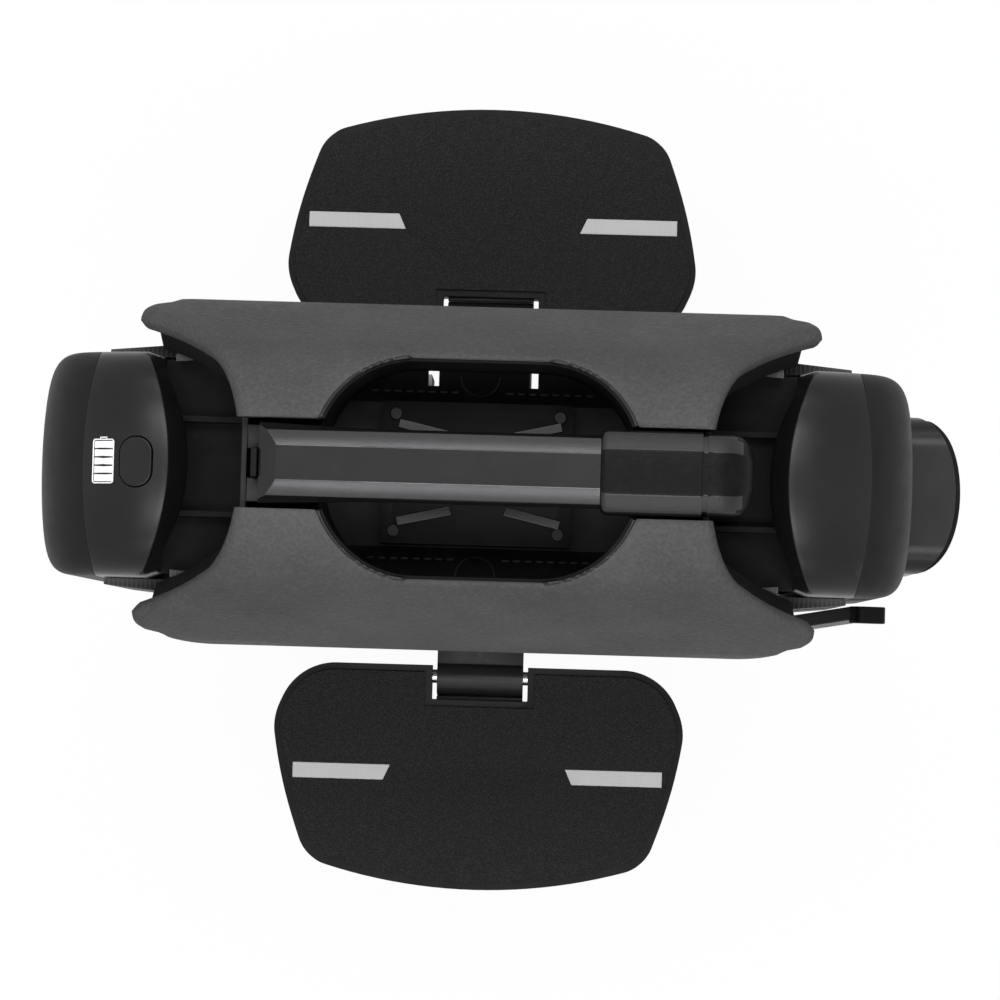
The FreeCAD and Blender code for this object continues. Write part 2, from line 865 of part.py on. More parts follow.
def shoulder(side):
    # Shelf that closes the gap between the shell's end and the end cover.
    top = deck_z + side_bend
    inner = cover_half + clear
    x0 = side * side_lean_half
    x1 = side * side_half_len
    cut = x1 - side * shoulder_cut
    path = [(x0, inner), (x1, inner), (x1, side_y - shoulder_cut), (cut, side_y), (x0, side_y)]
    low = top - shoulder_t
    centre_y = side_y - side_bow_r
    return slab_xy(path, low, top).common(rod(side_bow_r, V(0, centre_y, low), V(0, centre_y, top)))


def shell_screw_places():
    low = foot_z + foot_h / 2.0
    x = foot_x0 + foot_len - shell_screw_in
    return [(-x, low), (x, low)]


def shell_screw(x, z):
    face = side_inner_y(x) + side_t
    return rod(shell_screw_r, V(x, face - side_t - shell_screw_len, z), V(x, face + over, z))


def shell_screw_shanks():
    shanks = []
    for x, z in shell_screw_places():
        shanks += both_sides(shell_screw(x, z))
    return shanks


def shell_screws():
    screws = []
    for x, z in shell_screw_places():
        face = side_inner_y(x) + side_t + clear
        head = rod(shell_head_r, V(x, face, z), V(x, face + shell_head_h, z))
        screws += both_sides(head.fuse(shell_screw(x, z)))
    return screws


# Knee pads and what carries them

def pad_points(depth):
    outer = [(pad_edge_y, pad_edge_z), pad_shoulder, pad_bend, pad_flank, pad_wide, pad_belly, pad_hem]
    points = []
    for i, (y, z) in enumerate(outer):
        before = outer[max(i - 1, 0)]
        after = outer[min(i + 1, len(outer) - 1)]
        dy = after[0] - before[0]
        dz = after[1] - before[1]
        length = math.hypot(dy, dz)
        points.append((y + depth * dz / length, deck_z + z - depth * dy / length))
    points[0] = (pad_edge_y, points[0][1] - depth * pad_edge_slope)
    points[-1] = (points[-1][0], deck_z + pad_hem[1])
    return points


def pad_layer(depth0, depth1):
    a = pad_points(depth0)
    b = pad_points(depth1)
    path = [a[0], a[1] + a[2], a[3] + a[4], a[5] + a[6]]
    path += [b[6], b[5] + b[4], b[3] + b[2], b[1] + b[0]]
    return slab_yz(path, -pad_tip[0], pad_tip[0])


def under_pads(depth):
    p = pad_points(depth)
    path = [p[0], p[1] + p[2], p[3] + p[4], p[5] + p[6], (0.0, p[6][1]), (0.0, p[0][1])]
    half = slab_yz(path, -pad_tip[0], pad_tip[0])
    return half.fuse(mirror_y(half)).removeSplitter()


def pad_side(inset):
    top = deck_z + pad_edge_z + pad_t
    hem = deck_z + pad_hem[1] - pad_t
    tip_x = pad_tip[0] - inset
    right = [(pad_top_half - inset, top), (pad_top_half - inset, deck_z + pad_edge_z)]
    right += [(pad_waist[0] - inset, deck_z + pad_waist[1], pad_nose[0] - inset, deck_z + pad_nose[1])]
    right += [(tip_x, deck_z + pad_tip[1], pad_chin[0] - inset, deck_z + pad_chin[1])]
    right += [(pad_foot_half - inset, hem)]
    left = [(-pad_foot_half + inset, hem), (-pad_chin[0] + inset, deck_z + pad_chin[1])]
    left += [(-tip_x, deck_z + pad_tip[1], -pad_nose[0] + inset, deck_z + pad_nose[1])]
    left += [(-pad_waist[0] + inset, deck_z + pad_waist[1], -pad_top_half + inset, deck_z + pad_edge_z)]
    left += [(-pad_top_half + inset, top)]
    return slab_xz(right + left, 0.0, pad_belly[0] + pad_t)


def cavity(grow, z0, z1):
    return stadium(cavity_x0 - grow, cavity_x1 + grow, cavity_half + grow, cavity_corner + grow, z0, z1)


def knee_pad():
    solid = pad_layer(0.0, pad_t).common(pad_side(0.0))
    return solid.cut(cavity(liner_t + clear, deck_z, handle_top + pad_t))


def upper_shell():
    solid = pad_layer(pad_t, pad_t + upper_t).common(pad_side(upper_inset))
    return solid.cut(cavity(liner_t + clear, deck_z, handle_top + pad_t))


def cavity_liner():
    low = deck_z + liner_low
    wall = cavity(liner_t, low, handle_top).cut(cavity(0.0, low, handle_top))
    wall = wall.common(under_pads(liner_drop))
    lane = grip_half + lane_gap
    lane_z = bar_z - grip_drop - lane_drop
    return wall.cut(box(-pad_tip[0], pad_tip[0], -lane, lane, lane_z, handle_top + pad_t))


# End covers, built towards +X and mirrored for the rear

def cover_section(x, end, inset):
    # Upright section of an end cover: it narrows round the plan corners and drops round the top.
    tip = end - inset
    corner = cover_corner - inset
    bend = cover_round - inset
    edge = cover_edge_r - inset
    into_corner = max(x - tip + corner, 0.0)
    into_bend = max(x - tip + bend, 0.0)
    half = cover_half - inset - corner + math.sqrt(max(corner ** 2 - into_corner ** 2, 0.0))
    top = deck_z + cover_top - inset - bend + math.sqrt(max(bend ** 2 - into_bend ** 2, 0.0))
    low = deck_z + cover_bottom
    cut = edge * (1.0 - math.sqrt(0.5))
    path = [(-half, low), (-half, top - edge), (cut - half, top - cut, edge - half, top), (half - edge, top)]
    path += [(half - cut, top - cut, half, top - edge), (half, low)]
    return path_wire(path, lambda y, z: V(x, y, z))


def cover_form(end, inset):
    tip = end - inset
    corner = cover_corner - inset
    bend = cover_round - inset
    stations = [bulkhead_x + sleeve_d, tip - bend, tip - 0.5 * (bend + corner)]
    for i in range(cover_steps + 1):
        stations.append(tip - corner + corner * math.sin(0.5 * math.pi * i / cover_steps))
    return Part.makeLoft([cover_section(x, end, inset) for x in stations], True, True)


def cover_shell(end):
    start = bulkhead_x + sleeve_d
    low = deck_z + cover_bottom
    mouth = box(start - over, start + over, -cover_inner, cover_inner, low, deck_z + cover_top)
    return cover_form(end, 0.0).cut(cover_form(end, cover_wall)).cut(mouth)


def bowed_slab(near, far, bow_r):
    # Everything from the straight edge at near to the edge at far, which bows outwards.
    half = cover_half + over
    sag = bow_r - math.sqrt(bow_r ** 2 - half ** 2)
    side = far - math.copysign(sag, far - near)
    path = [(near, -half), (side, -half), (far, 0.0, side, half), (near, half)]
    return slab_xy(path, deck_z + cover_bottom - over, deck_z + cover_top + over)


def lip_limit(lip, end):
    return bowed_slab(end + over, lip, lip_bow_r)


def break_limit(place):
    return bowed_slab(bulkhead_x, place, break_bow_r)


def end_cover(lip, place, end):
    return cover_shell(end).common(lip_limit(lip, end)).common(break_limit(place))


def end_band(place, end):
    return cover_shell(end).cut(break_limit(place))


def surface_frame(x, end):
    # Point and slope of the cover's rounded top at a distance x along it.
    centre = end - cover_round
    reach = max(x - centre, 0.0)
    slope = math.asin(reach / cover_round)
    z = deck_z + cover_top - cover_round + cover_round * math.cos(slope)
    return V(x, 0, z), math.degrees(slope)


def on_rear_top(shape, x):
    # Moves a piece made around the origin, facing +Z, onto the rear cover's top.
    point, slope = surface_frame(x, rear_end)
    shape.rotate(V(0, 0, 0), V(0, 1, 0), slope)
    shape.translate(point)
    return mirror_x(shape)


def capsule(width, length, z0, z1):
    block = box(-width / 2.0, width / 2.0, -length / 2.0, length / 2.0, z0, z1)
    return block.makeFillet((width - button_flat) / 2.0, upright_edges(block))


def power_button():
    return on_rear_top(capsule(button_w, button_len, button_proud - button_t, button_proud), button_x)


def button_hole():
    grow = 2.0 * button_play
    return on_rear_top(capsule(button_w + grow, button_len + grow, -2.0 * button_t, button_t), button_x)


def battery_indicator():
    pitch = meter_len / meter_bars
    bars = []
    for i in range(meter_bars):
        y = -meter_len / 2.0 + i * pitch
        bar = box(-meter_w / 2.0, meter_w / 2.0, y + meter_gap, y + pitch - meter_gap, -meter_t, 0.0)
        bars.append(on_rear_top(bar, meter_x))
    return Part.Compound(bars)


def indicator_pocket():
    block = box(-meter_w / 2.0, meter_w / 2.0, -meter_len / 2.0, meter_len / 2.0, -meter_t, button_t)
    return on_rear_top(block, meter_x)


def rear_cover():
    solid = mirror_x(end_cover(rear_lip, rear_break, rear_end))
    return solid.cut(button_hole()).cut(indicator_pocket())


def front_cover():
    return end_cover(front_lip, front_break, front_end)


def rear_band():
    solid = mirror_x(end_band(rear_break, rear_end))
    return solid.cut(tail_light()).cut(port_body()).cut(indicator_pocket()).fuse(cap_pin())


def front_band():
    return end_band(front_break, front_end)


def recess_tray(lip):
    low = deck_z + tray_z
    floor = low + tray_t
    far = lip + tray_reach
    half = cover_inner - clear
    plate = box(bulkhead_x, far, -half, half, low, floor)
    y = tray_rib_y - tray_rib_half
    rib = box(bulkhead_x, far, y, y + 2.0 * tray_rib_half, floor, floor + tray_rib_h)
    return plate.fuse(both_sides(rib))


def front_tray():
    half = sleeve_w / 2.0 + clear
    low = deck_z + tray_z
    lane = box(bulkhead_x, bulkhead_x + sleeve_d + clear, -half, half, low, low + tray_t)
    return recess_tray(front_lip).cut(lane)


def battery_case(end):
    half = cover_inner - clear
    start = bulkhead_x + sleeve_d + battery_gap
    arch = rod(arch_r + fender_t + battery_arch_gap, V(0, -half, arch_z), V(0, half, arch_z))
    block = box(start, end - cover_wall - battery_reach, -half, half, deck_z - battery_drop, deck_z + tray_z)
    inside = cover_form(end, cover_wall + clear)
    return block.cut(arch).common(inside)


# Lamps and charging

def lamp_plan(tip, half):
    # Region behind a bowed front, as tall as the lamp and more.
    back = front_end - cover_corner
    path = [(back, -half), (tip - lamp_bow, -half), (tip, 0.0, tip - lamp_bow, half), (back, half)]
    return slab_xy(path, deck_z + lamp_low - over, deck_z + lamp_high + over)


def lamp_form(inset, tip):
    z0 = deck_z + lamp_low + inset
    z1 = deck_z + lamp_high - inset
    block = box(front_end - cover_corner, lamp_tip + over, inset - lamp_half, lamp_half - inset, z0, z1)
    edges = [e for e in block.Edges if e.BoundBox.XLength > over]
    return block.makeFillet(lamp_corner - inset, edges).common(lamp_plan(tip, lamp_half))


def behind_lamp(x):
    return box(x - 2.0 * cover_corner, x, -cover_half, cover_half, deck_z + cover_bottom, deck_z + cover_top)


def headlight_housing():
    body = lamp_form(0.0, lamp_tip - lens_t).cut(cover_form(front_end, 0.0))
    bowl = lamp_form(lamp_wall, lamp_tip).cut(behind_lamp(front_end + lamp_back))
    return body.cut(bowl)


def headlight_reflector():
    x0 = front_end + lamp_back
    outer = lamp_form(lamp_wall, lamp_tip - lens_t).cut(behind_lamp(x0))
    inner = lamp_form(lamp_wall + reflector_t, lamp_tip).cut(behind_lamp(x0 + reflector_t))
    return outer.cut(inner)


def headlight_lens():
    return lamp_form(lens_inset, lamp_tip).cut(lamp_plan(lamp_tip - lens_t, lamp_half))


def tail_light():
    z = deck_z + tail_z
    inner = cover_wall + tail_depth - rear_end
    return box(-rear_end - tail_proud, inner, -tail_half, tail_half, z - tail_h / 2.0, z + tail_h / 2.0)


def port_line(depth):
    z = deck_z + port_z
    return V(-rear_end, 0, z), V(-rear_end + depth, 0, z)


def port_body():
    start, end = port_line(port_depth)
    return rod(port_r, start, end)


def charge_port():
    start, end = port_line(port_depth - port_floor)
    return port_body().cut(rod(port_r - port_wall, start, end))


def cap_hinge():
    z = deck_z + port_z + port_r + cap_margin + cap_pin_r + cap_rise
    return V(-rear_end - cap_knuckle_r - clear, 0, z)


def charge_cap():
    z = deck_z + port_z
    face = -rear_end - clear
    disc = rod(port_r + cap_margin, V(face - cap_t, 0, z), V(face, 0, z))
    plug = rod(port_r - port_wall - cap_play, V(face, 0, z), V(cap_plug - rear_end, 0, z))
    pivot = cap_hinge()
    half = cap_tab_half
    tab = box(face - cap_t, face, -half, half, z, pivot.z)
    solid = disc.fuse([plug, tab])
    hole = rod(cap_pin_r + run_fit, V(pivot.x, -half, pivot.z), V(pivot.x, half, pivot.z))
    knuckle = rod(cap_knuckle_r, V(pivot.x, -half, pivot.z), V(pivot.x, half, pivot.z))
    reach = 2.0 * cap_knuckle_r
    wall = box(face, cover_wall - rear_end, -half, half, pivot.z - reach, pivot.z + reach)
    return solid.fuse(knuckle).cut(wall).cut(hole)


def cap_pin():
    pivot = cap_hinge()
    near = cap_tab_half + ear_gap
    far = near + ear_t
    pin = rod(cap_pin_r, V(pivot.x, -far, pivot.z), V(pivot.x, far, pivot.z))
    ear = box(pivot.x - cap_pin_r, -rear_end, near, far, pivot.z - cap_pin_r, pivot.z + cap_pin_r)
    return pin.fuse(both_sides(ear))


# Controller

def controller_box():
    outer = box(-box_half_len, box_half_len, -box_half_w, box_half_w, deck_z, deck_z + box_h)
    half_x = box_half_len - box_wall
    half_y = box_half_w - box_wall
    low = deck_z + box_wall
    top = deck_z + box_h
    inner = box(-half_x, half_x, -half_y, half_y, low, top)
    posts = []
    for x, y in lid_screw_places():
        posts.append(box(x - post_half, x + post_half, y - post_half, y + post_half, low, top))
    solid = outer.cut(inner).fuse(posts)
    for shank in lid_screw_shanks():
        solid = solid.cut(shank)
    return solid


def lid_screw_places():
    x = box_half_len - box_wall - post_half
    y = box_half_w - box_wall - post_half
    return [(-x, -y), (x, -y), (x, y), (-x, y)]


def lid_screw_shanks():
    low = deck_z + box_h - lid_screw_len
    return [rod(lid_screw_r, V(x, y, low), V(x, y, lid_top)) for x, y in lid_screw_places()]


def controller_lid():
    lid = box(-box_half_len, box_half_len, -box_half_w, box_half_w, deck_z + box_h, lid_top)
    for shank in lid_screw_shanks():
        lid = lid.cut(shank)
    return lid


def lid_screws():
    heads = []
    for x, y in lid_screw_places():
        heads.append(rod(2.0 * lid_screw_r, V(x, y, lid_top), V(x, y, lid_top + lid_head_h)))
    return [head.fuse(shank) for head, shank in zip(heads, lid_screw_shanks())]


def controller_board():
    inset = box_wall + 2.0 * post_half + board_gap
    half_x = box_half_len - inset
    half_y = box_half_w - inset
    low = deck_z + box_wall
    top = low + board_t
    board = box(-half_x, half_x, -half_y, half_y, low, top)
    chips = []
    for i in range(chip_count):
        x = (i + 0.5) * 2.0 * half_x / chip_count - half_x - chip_d / 2.0
        chips.append(box(x, x + chip_d, chip_row - chip_w / 2.0, chip_row + chip_w / 2.0, top, top + chip_h))
    for x in (-can_pitch, 0.0, can_pitch):
        chips.append(rod(can_r, V(x, can_row, top), V(x, can_row, top + can_h)))
    return board.fuse(chips)


# Handle and mast

def rect_tube(inset, wall, z0, z1):
    dx = sleeve_d / 2.0 - inset
    dy = sleeve_w / 2.0 - inset
    outer = box(mast_x - dx, mast_x + dx, -dy, dy, z0, z1)
    return outer.cut(box(mast_x - dx + wall, mast_x + dx - wall, wall - dy, dy - wall, z0, z1))


def mast_sleeve():
    return rect_tube(0.0, tube_t, mast_foot, mast_top)


def mast_mid_tube():
    return rect_tube(tube_t + slide_gap, tube_t, mast_foot + mast_step, mast_top)


def mast_inner_tube():
    return rect_tube(tube_inset, tube_t, mast_foot + 2.0 * mast_step, bar_z + core_inset)


def handle_core():
    low = bar_z + core_inset
    return box(grip_x, mast_front - core_end, -core_half, core_half, low, handle_top - core_top)


def handle_bar():
    top = handle_top
    keel = bar_z + bar_keel_rise
    section = [(-bar_flat, top), (bar_flat, top), (bar_half, top - bar_shoulder), (bar_half, keel)]
    section += [(bar_keel, bar_z), (-bar_keel, bar_z), (-bar_half, keel), (-bar_half, top - bar_shoulder)]
    bevel = [(bar_rear, bar_z), (bar_rear, top - bar_bevel), (bar_rear + bar_bevel, top)]
    bevel += [(grip_x, top), (grip_x, bar_z)]
    bar = slab_yz(section, bar_rear, grip_x).common(slab_xz(bevel, -bar_half, bar_half))
    half = switch_half + clear
    pocket_top = bar_z + switch_h + switch_proud
    pocket = box(switch_x - clear, switch_x + switch_len + clear, -half, half, bar_z, pocket_top)
    return bar.fuse(handle_core()).cut(pocket).removeSplitter()


def rubber_grip():
    top = handle_top + grip_rise
    low = bar_z - grip_drop
    front = mast_front + grip_front
    fall = grip_nose * (1.0 - math.sqrt(0.5))
    path = [(grip_x, low), (grip_x, top), (front - grip_nose, top)]
    path += [(front - fall, top - fall, front, top - grip_nose), (front, low)]
    solid = slab_xz(path, -grip_half, grip_half)
    edges = [e for e in solid.Edges if e.BoundBox.YLength < 1e-6 and e.BoundBox.ZMax > low + over
             and e.BoundBox.XMax > grip_x + over]
    solid = solid.makeFillet(grip_edge_r, edges)
    half_x = sleeve_d / 2.0 - tube_inset
    half_y = sleeve_w / 2.0 - tube_inset
    socket = box(mast_x - half_x, mast_x + half_x, -half_y, half_y, low, bar_z + core_inset)
    return solid.cut(handle_core()).cut(socket)


def lift_switch():
    top = bar_z + switch_h - switch_play
    return box(switch_x, switch_x + switch_len, -switch_half, switch_half, bar_z - switch_proud, top)


def handle_saddle():
    rear = -bulkhead_x + bulkhead_t
    top = bar_z - clear
    block = box(rear, cavity_x0 - liner_t - clear, -saddle_half, saddle_half, top - saddle_h, top)
    pocket_rear = bar_rear - latch_gap - latch_t - latch_stroke - clear
    half = latch_half + clear
    pocket = box(pocket_rear, bar_rear, -half, half, top - latch_h + latch_proud, top)
    return block.cut(pocket)


def handle_latch():
    top = bar_z + latch_proud
    front = bar_rear - latch_gap
    return box(front - latch_t, front, -latch_half, latch_half, top - latch_h + latch_lift, top)


# Side stand

def stand_face():
    return -(side_inner_y(stand_x) + side_t + stand_gap)


def stand_lean():
    # How far the leg leans in to follow the shell's side.
    tip_x = stand_x + stand_len * math.cos(math.radians(stand_angle))
    return side_inner_y(stand_x) - side_inner_y(tip_x) + stand_tuck


def side_stand():
    face = stand_face()
    tip = face + stand_lean()
    path = [(0.0, face - stand_t), (stand_straight, face - stand_t), (stand_len, tip - stand_t)]
    path += [(stand_len, tip), (stand_straight, face), (0.0, face)]
    leg = slab_xy(path, -stand_half, stand_half)
    eye = rod(stand_half + stand_eye_t, V(0, face - stand_t, 0), V(0, face, 0))
    solid = leg.fuse(eye).cut(rod(stand_bolt_r + run_fit, V(0, face - stand_t, 0), V(0, face, 0)))
    return placed_on_stand(solid)


def placed_on_stand(shape):
    shape.rotate(V(0, 0, 0), V(0, 1, 0), -stand_angle)
    shape.translate(V(stand_x, 0, stand_z))
    return shape


def stand_foot():
    tip = stand_face() + stand_lean()
    half = stand_half + shoe_margin
    shoe = box(stand_len, stand_len + shoe_len, tip - stand_t - shoe_t, tip, -half, half)
    edges = [e for e in shoe.Edges if e.BoundBox.YLength > over]
    return placed_on_stand(shoe.makeFillet(shoe_edge_r, edges))


def stand_bolt():
    face = stand_face()
    spot = side_inner_y(stand_x) + side_t
    outer = face - stand_t - clear
    shank = rod(stand_bolt_r, V(stand_x, outer, stand_z), V(stand_x, over - spot, stand_z))
    head = rod(stand_head_r, V(stand_x, outer - stand_head_h, stand_z), V(stand_x, outer, stand_z))
    base = rod(stand_head_r + stand_base_t, V(stand_x, face + clear, stand_z), V(stand_x, -spot, stand_z))
    return shank.fuse([head, base]).cut(mirror_y(side_sheet()))


def write(name, shape):
    shape.exportStep("parts/%s.step" % name)


def write_groups():
    write("hub_covers", Part.Compound(both_sides(hub_cover())))
    write("hangers", Part.Compound(both_sides(hanger())))
    write("pedal_brackets", Part.Compound(both_sides(pedal_bracket())))
    write("upper_shells", Part.Compound(both_sides(upper_shell())))
    write("recess_trays", Part.Compound([front_tray(), mirror_x(recess_tray(rear_lip))]))
    write("battery_cases", Part.Compound([battery_case(front_end), mirror_x(battery_case(rear_end))]))
    write("end_bands", Part.Compound([front_band(), rear_band()]))
    write("carriage_fasteners", Part.Compound(axle_nuts() + bracket_bolts()))
    write("body_screws", Part.Compound(shell_screws() + lid_screws()))


def write_singles():
    singles = [tyre, rim, magnet_ring, hub_cover_screws, wheel_bearings, valve_stem, axle, stator_core]
    singles += [stator_coils, guide_bushes, shock_rods, pedal_pins, main_frame, guide_tubes, guide_feet]
    singles += [shock_cylinders, inner_fender, cavity_liner, rear_cover, front_cover, headlight_housing]
    singles += [headlight_reflector, headlight_lens, tail_light, charge_port, charge_cap, controller_box]
    singles += [controller_board, controller_lid, mast_sleeve, mast_mid_tube, mast_inner_tube, handle_bar]
    singles += [rubber_grip, lift_switch, handle_latch, power_button, battery_indicator, side_stand]
    singles += [stand_foot, stand_bolt]
    for make in singles:
        write(make.__name__, make())


def write_pairs():
    for make in (pedal_plate, pedal_grip, pedal_stripes, side_shell, knee_pad):
        piece = make()
        write(make.__name__ + "_left", piece)
        write(make.__name__ + "_right", mirror_y(piece))


os.makedirs("parts", exist_ok=True)
write_singles()
write_groups()
write_pairs()
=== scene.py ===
import bisect
import json
import math

import bmesh
import bpy
from mathutils import Matrix, Vector


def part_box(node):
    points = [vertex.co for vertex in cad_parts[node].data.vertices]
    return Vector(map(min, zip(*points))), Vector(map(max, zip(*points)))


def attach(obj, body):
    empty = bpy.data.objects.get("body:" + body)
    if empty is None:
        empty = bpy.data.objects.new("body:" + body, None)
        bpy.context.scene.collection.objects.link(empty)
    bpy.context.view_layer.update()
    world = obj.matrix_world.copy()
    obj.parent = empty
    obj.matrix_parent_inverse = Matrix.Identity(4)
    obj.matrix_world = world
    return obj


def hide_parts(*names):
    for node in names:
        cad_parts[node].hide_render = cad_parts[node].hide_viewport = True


# Electric unicycle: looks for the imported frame. Metres, +X forward, +Y to the rider's left, +Z up.

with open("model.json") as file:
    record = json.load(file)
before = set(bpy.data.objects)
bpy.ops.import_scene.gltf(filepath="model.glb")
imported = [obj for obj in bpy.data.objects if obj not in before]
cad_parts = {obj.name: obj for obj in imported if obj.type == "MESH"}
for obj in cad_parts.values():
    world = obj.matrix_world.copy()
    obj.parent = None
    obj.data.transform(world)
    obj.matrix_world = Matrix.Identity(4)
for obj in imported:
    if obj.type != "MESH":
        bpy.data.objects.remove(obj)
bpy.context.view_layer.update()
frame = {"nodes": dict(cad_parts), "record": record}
nodes = frame["nodes"]
record = frame["record"]
body_of = {node: body for body, names in record["behaviour"]["bodies"].items() for node in names}
slot_of = {part["node"]: part["material_slot"] for part in record["subparts"]}

mm = 0.001

# Camera, as the photograph's: almost straight above, a long lens, turned a little
camera_place = Vector((0.046, -0.123, 3.6))
focal_pixels = 4750.0
frame_pixels = 1000.0
nadir_pixel = (544.0, 671.0)
camera_roll = math.radians(1.65)
sensor_width = 36.0
camera_reach = 60.0

# Light levels
world_light = 0.24
key_power = 68.0
strip_power = 17.0
top_power = 6.0
end_power = 2.5
backdrop_share = 0.96


# Material building blocks

def new_surface(name):
    material = bpy.data.materials.new(name)
    material.use_nodes = True
    return material, material.node_tree, material.node_tree.nodes["Principled BSDF"]


def object_point(tree):
    return tree.nodes.new("ShaderNodeTexCoord").outputs["Object"]


def noise(tree, point, size, detail=3.0, roughness=0.55):
    node = tree.nodes.new("ShaderNodeTexNoise")
    node.inputs["Scale"].default_value = 1.0 / size
    node.inputs["Detail"].default_value = detail
    node.inputs["Roughness"].default_value = roughness
    tree.links.new(point, node.inputs["Vector"])
    return node.outputs["Fac"]


def cells(tree, point, size, feature="F1", randomness=1.0, flat=False):
    node = tree.nodes.new("ShaderNodeTexVoronoi")
    node.feature = feature
    node.voronoi_dimensions = "2D" if flat else "3D"
    node.inputs["Scale"].default_value = 1.0 / size
    node.inputs["Randomness"].default_value = randomness
    tree.links.new(point, node.inputs["Vector"])
    return node.outputs["Distance"]


def ramp(tree, value, stops):
    node = tree.nodes.new("ShaderNodeValToRGB")
    elements = node.color_ramp.elements
    while len(elements) < len(stops):
        elements.new(0.5)
    for element, (place, shade) in zip(elements, stops):
        element.position = place
        element.color = (*shade, 1.0) if isinstance(shade, tuple) else (shade, shade, shade, 1.0)
    tree.links.new(value, node.inputs["Fac"])
    return node.outputs["Color"]


def span(tree, value, low, high, source=(0.3, 0.7)):
    node = tree.nodes.new("ShaderNodeMapRange")
    node.inputs["From Min"].default_value = source[0]
    node.inputs["From Max"].default_value = source[1]
    node.inputs["To Min"].default_value = low
    node.inputs["To Max"].default_value = high
    tree.links.new(value, node.inputs["Value"])
    return node.outputs["Result"]


def combine(tree, first, second, operation="ADD", weight=None):
    node = tree.nodes.new("ShaderNodeMath")
    node.operation = operation
    tree.links.new(first, node.inputs[0])
    tree.links.new(second, node.inputs[1])
    if weight is not None:
        tree.links.new(weight, node.inputs[2])
    return node.outputs["Value"]


def scaled(tree, value, factor):
    node = tree.nodes.new("ShaderNodeMath")
    node.operation = "MULTIPLY"
    node.inputs[1].default_value = factor
    tree.links.new(value, node.inputs[0])
    return node.outputs["Value"]


def relief(tree, height, depth, shader, strength=1.0):
    node = tree.nodes.new("ShaderNodeBump")
    node.inputs["Distance"].default_value = depth
    node.inputs["Strength"].default_value = strength
    tree.links.new(height, node.inputs["Height"])
    tree.links.new(node.outputs["Normal"], shader.inputs["Normal"])


def worn_edges(tree, base, edge_shade):
    # Lightens convex edges a little, as handling does.
    edge = tree.nodes.new("ShaderNodeNewGeometry").outputs["Pointiness"]
    amount = span(tree, edge, 0.0, 0.55, (0.52, 0.6))
    node = tree.nodes.new("ShaderNodeMix")
    node.data_type = "RGBA"
    node.inputs["B"].default_value = (*edge_shade, 1.0)
    tree.links.new(amount, node.inputs["Factor"])
    tree.links.new(base, node.inputs["A"])
    return node.outputs["Result"]


def give_finish(tree, shader, base, pattern, rough):
    # Links a surface's colour, and its roughness between two levels after a pattern.
    tree.links.new(base, shader.inputs["Base Color"])
    tree.links.new(span(tree, pattern, *rough), shader.inputs["Roughness"])


def moulded(name, low, high, rough, metallic=0.0, patch=0.05, grain=0.0007, depth=0.00006, edge=None,
            gloss=0.14):
    # A plain finish: slow changes of shade and gloss, a fine grain in the skin, rubbed edges.
    material, tree, shader = new_surface(name)
    point = object_point(tree)
    slow = noise(tree, point, patch, 4.0)
    base = ramp(tree, slow, [(0.3, low), (0.7, high)])
    if edge:
        base = worn_edges(tree, base, edge)
    give_finish(tree, shader, base, noise(tree, point, 0.35 * patch, 5.0, 0.65), rough)
    relief(tree, noise(tree, point, grain, 2.0), depth, shader)
    shader.inputs["Metallic"].default_value = metallic
    shader.inputs["Specular IOR Level"].default_value = gloss
    return material


def leather():
    material, tree, shader = new_surface("pad_leather")
    point = object_point(tree)
    slow = noise(tree, point, 0.06, 4.0)
    pores = cells(tree, point, 0.0024)
    wrinkle = noise(tree, point, 0.0045, 4.0, 0.6)
    mixed = combine(tree, scaled(tree, pores, 0.35), scaled(tree, slow, 0.65))
    base = ramp(tree, mixed, [(0.25, (0.058, 0.058, 0.0585)), (0.75, (0.092, 0.092, 0.093))])
    give_finish(tree, shader, base, wrinkle, (0.42, 0.6))
    height = combine(tree, pores, scaled(tree, wrinkle, 0.9))
    relief(tree, height, 0.0004, shader)
    shader.inputs["Specular IOR Level"].default_value = 0.015
    return material


def dotted_plastic():
    # Rows of fine raised dots, laid out on the shell's side.
    material, tree, shader = new_surface("textured_plastic")
    point = object_point(tree)
    turn = tree.nodes.new("ShaderNodeMapping")
    turn.inputs["Rotation"].default_value = (math.radians(90.0), 0.0, math.radians(45.0))
    tree.links.new(point, turn.inputs["Vector"])
    dots = cells(tree, turn.outputs["Vector"], 0.0021, randomness=0.0, flat=True)
    bead = ramp(tree, dots, [(0.22, 1.0), (0.42, 0.0)])
    base = ramp(tree, dots, [(0.2, (0.085, 0.085, 0.088)), (0.45, (0.03, 0.03, 0.032))])
    base = worn_edges(tree, base, (0.1, 0.1, 0.1))
    give_finish(tree, shader, base, noise(tree, point, 0.03), (0.45, 0.6))
    relief(tree, bead, 0.00025, shader)
    shader.inputs["Specular IOR Level"].default_value = 0.15
    return material


def grip_sheet():
    # Black abrasive sheet with bright specks of grit.
    material, tree, shader = new_surface("grip_sheet")
    point = object_point(tree)
    grit = cells(tree, point, 0.0011)
    rough_grain = noise(tree, point, 0.0022, 4.0, 0.7)
    base = ramp(tree, grit, [(0.1, (0.042, 0.042, 0.043)), (0.5, (0.017, 0.017, 0.0175))])
    give_finish(tree, shader, base, rough_grain, (0.6, 0.85))
    relief(tree, combine(tree, grit, rough_grain), 0.0005, shader)
    shader.inputs["Specular IOR Level"].default_value = 0.08
    return material


def reflective_film():
    material, tree, shader = new_surface("stripe")
    point = object_point(tree)
    bead = cells(tree, point, 0.0016, randomness=0.0, flat=True)
    base = ramp(tree, bead, [(0.2, (0.58, 0.58, 0.59)), (0.6, (0.5, 0.5, 0.51))])
    give_finish(tree, shader, base, noise(tree, point, 0.01), (0.35, 0.5))
    relief(tree, bead, 0.0001, shader)
    return material


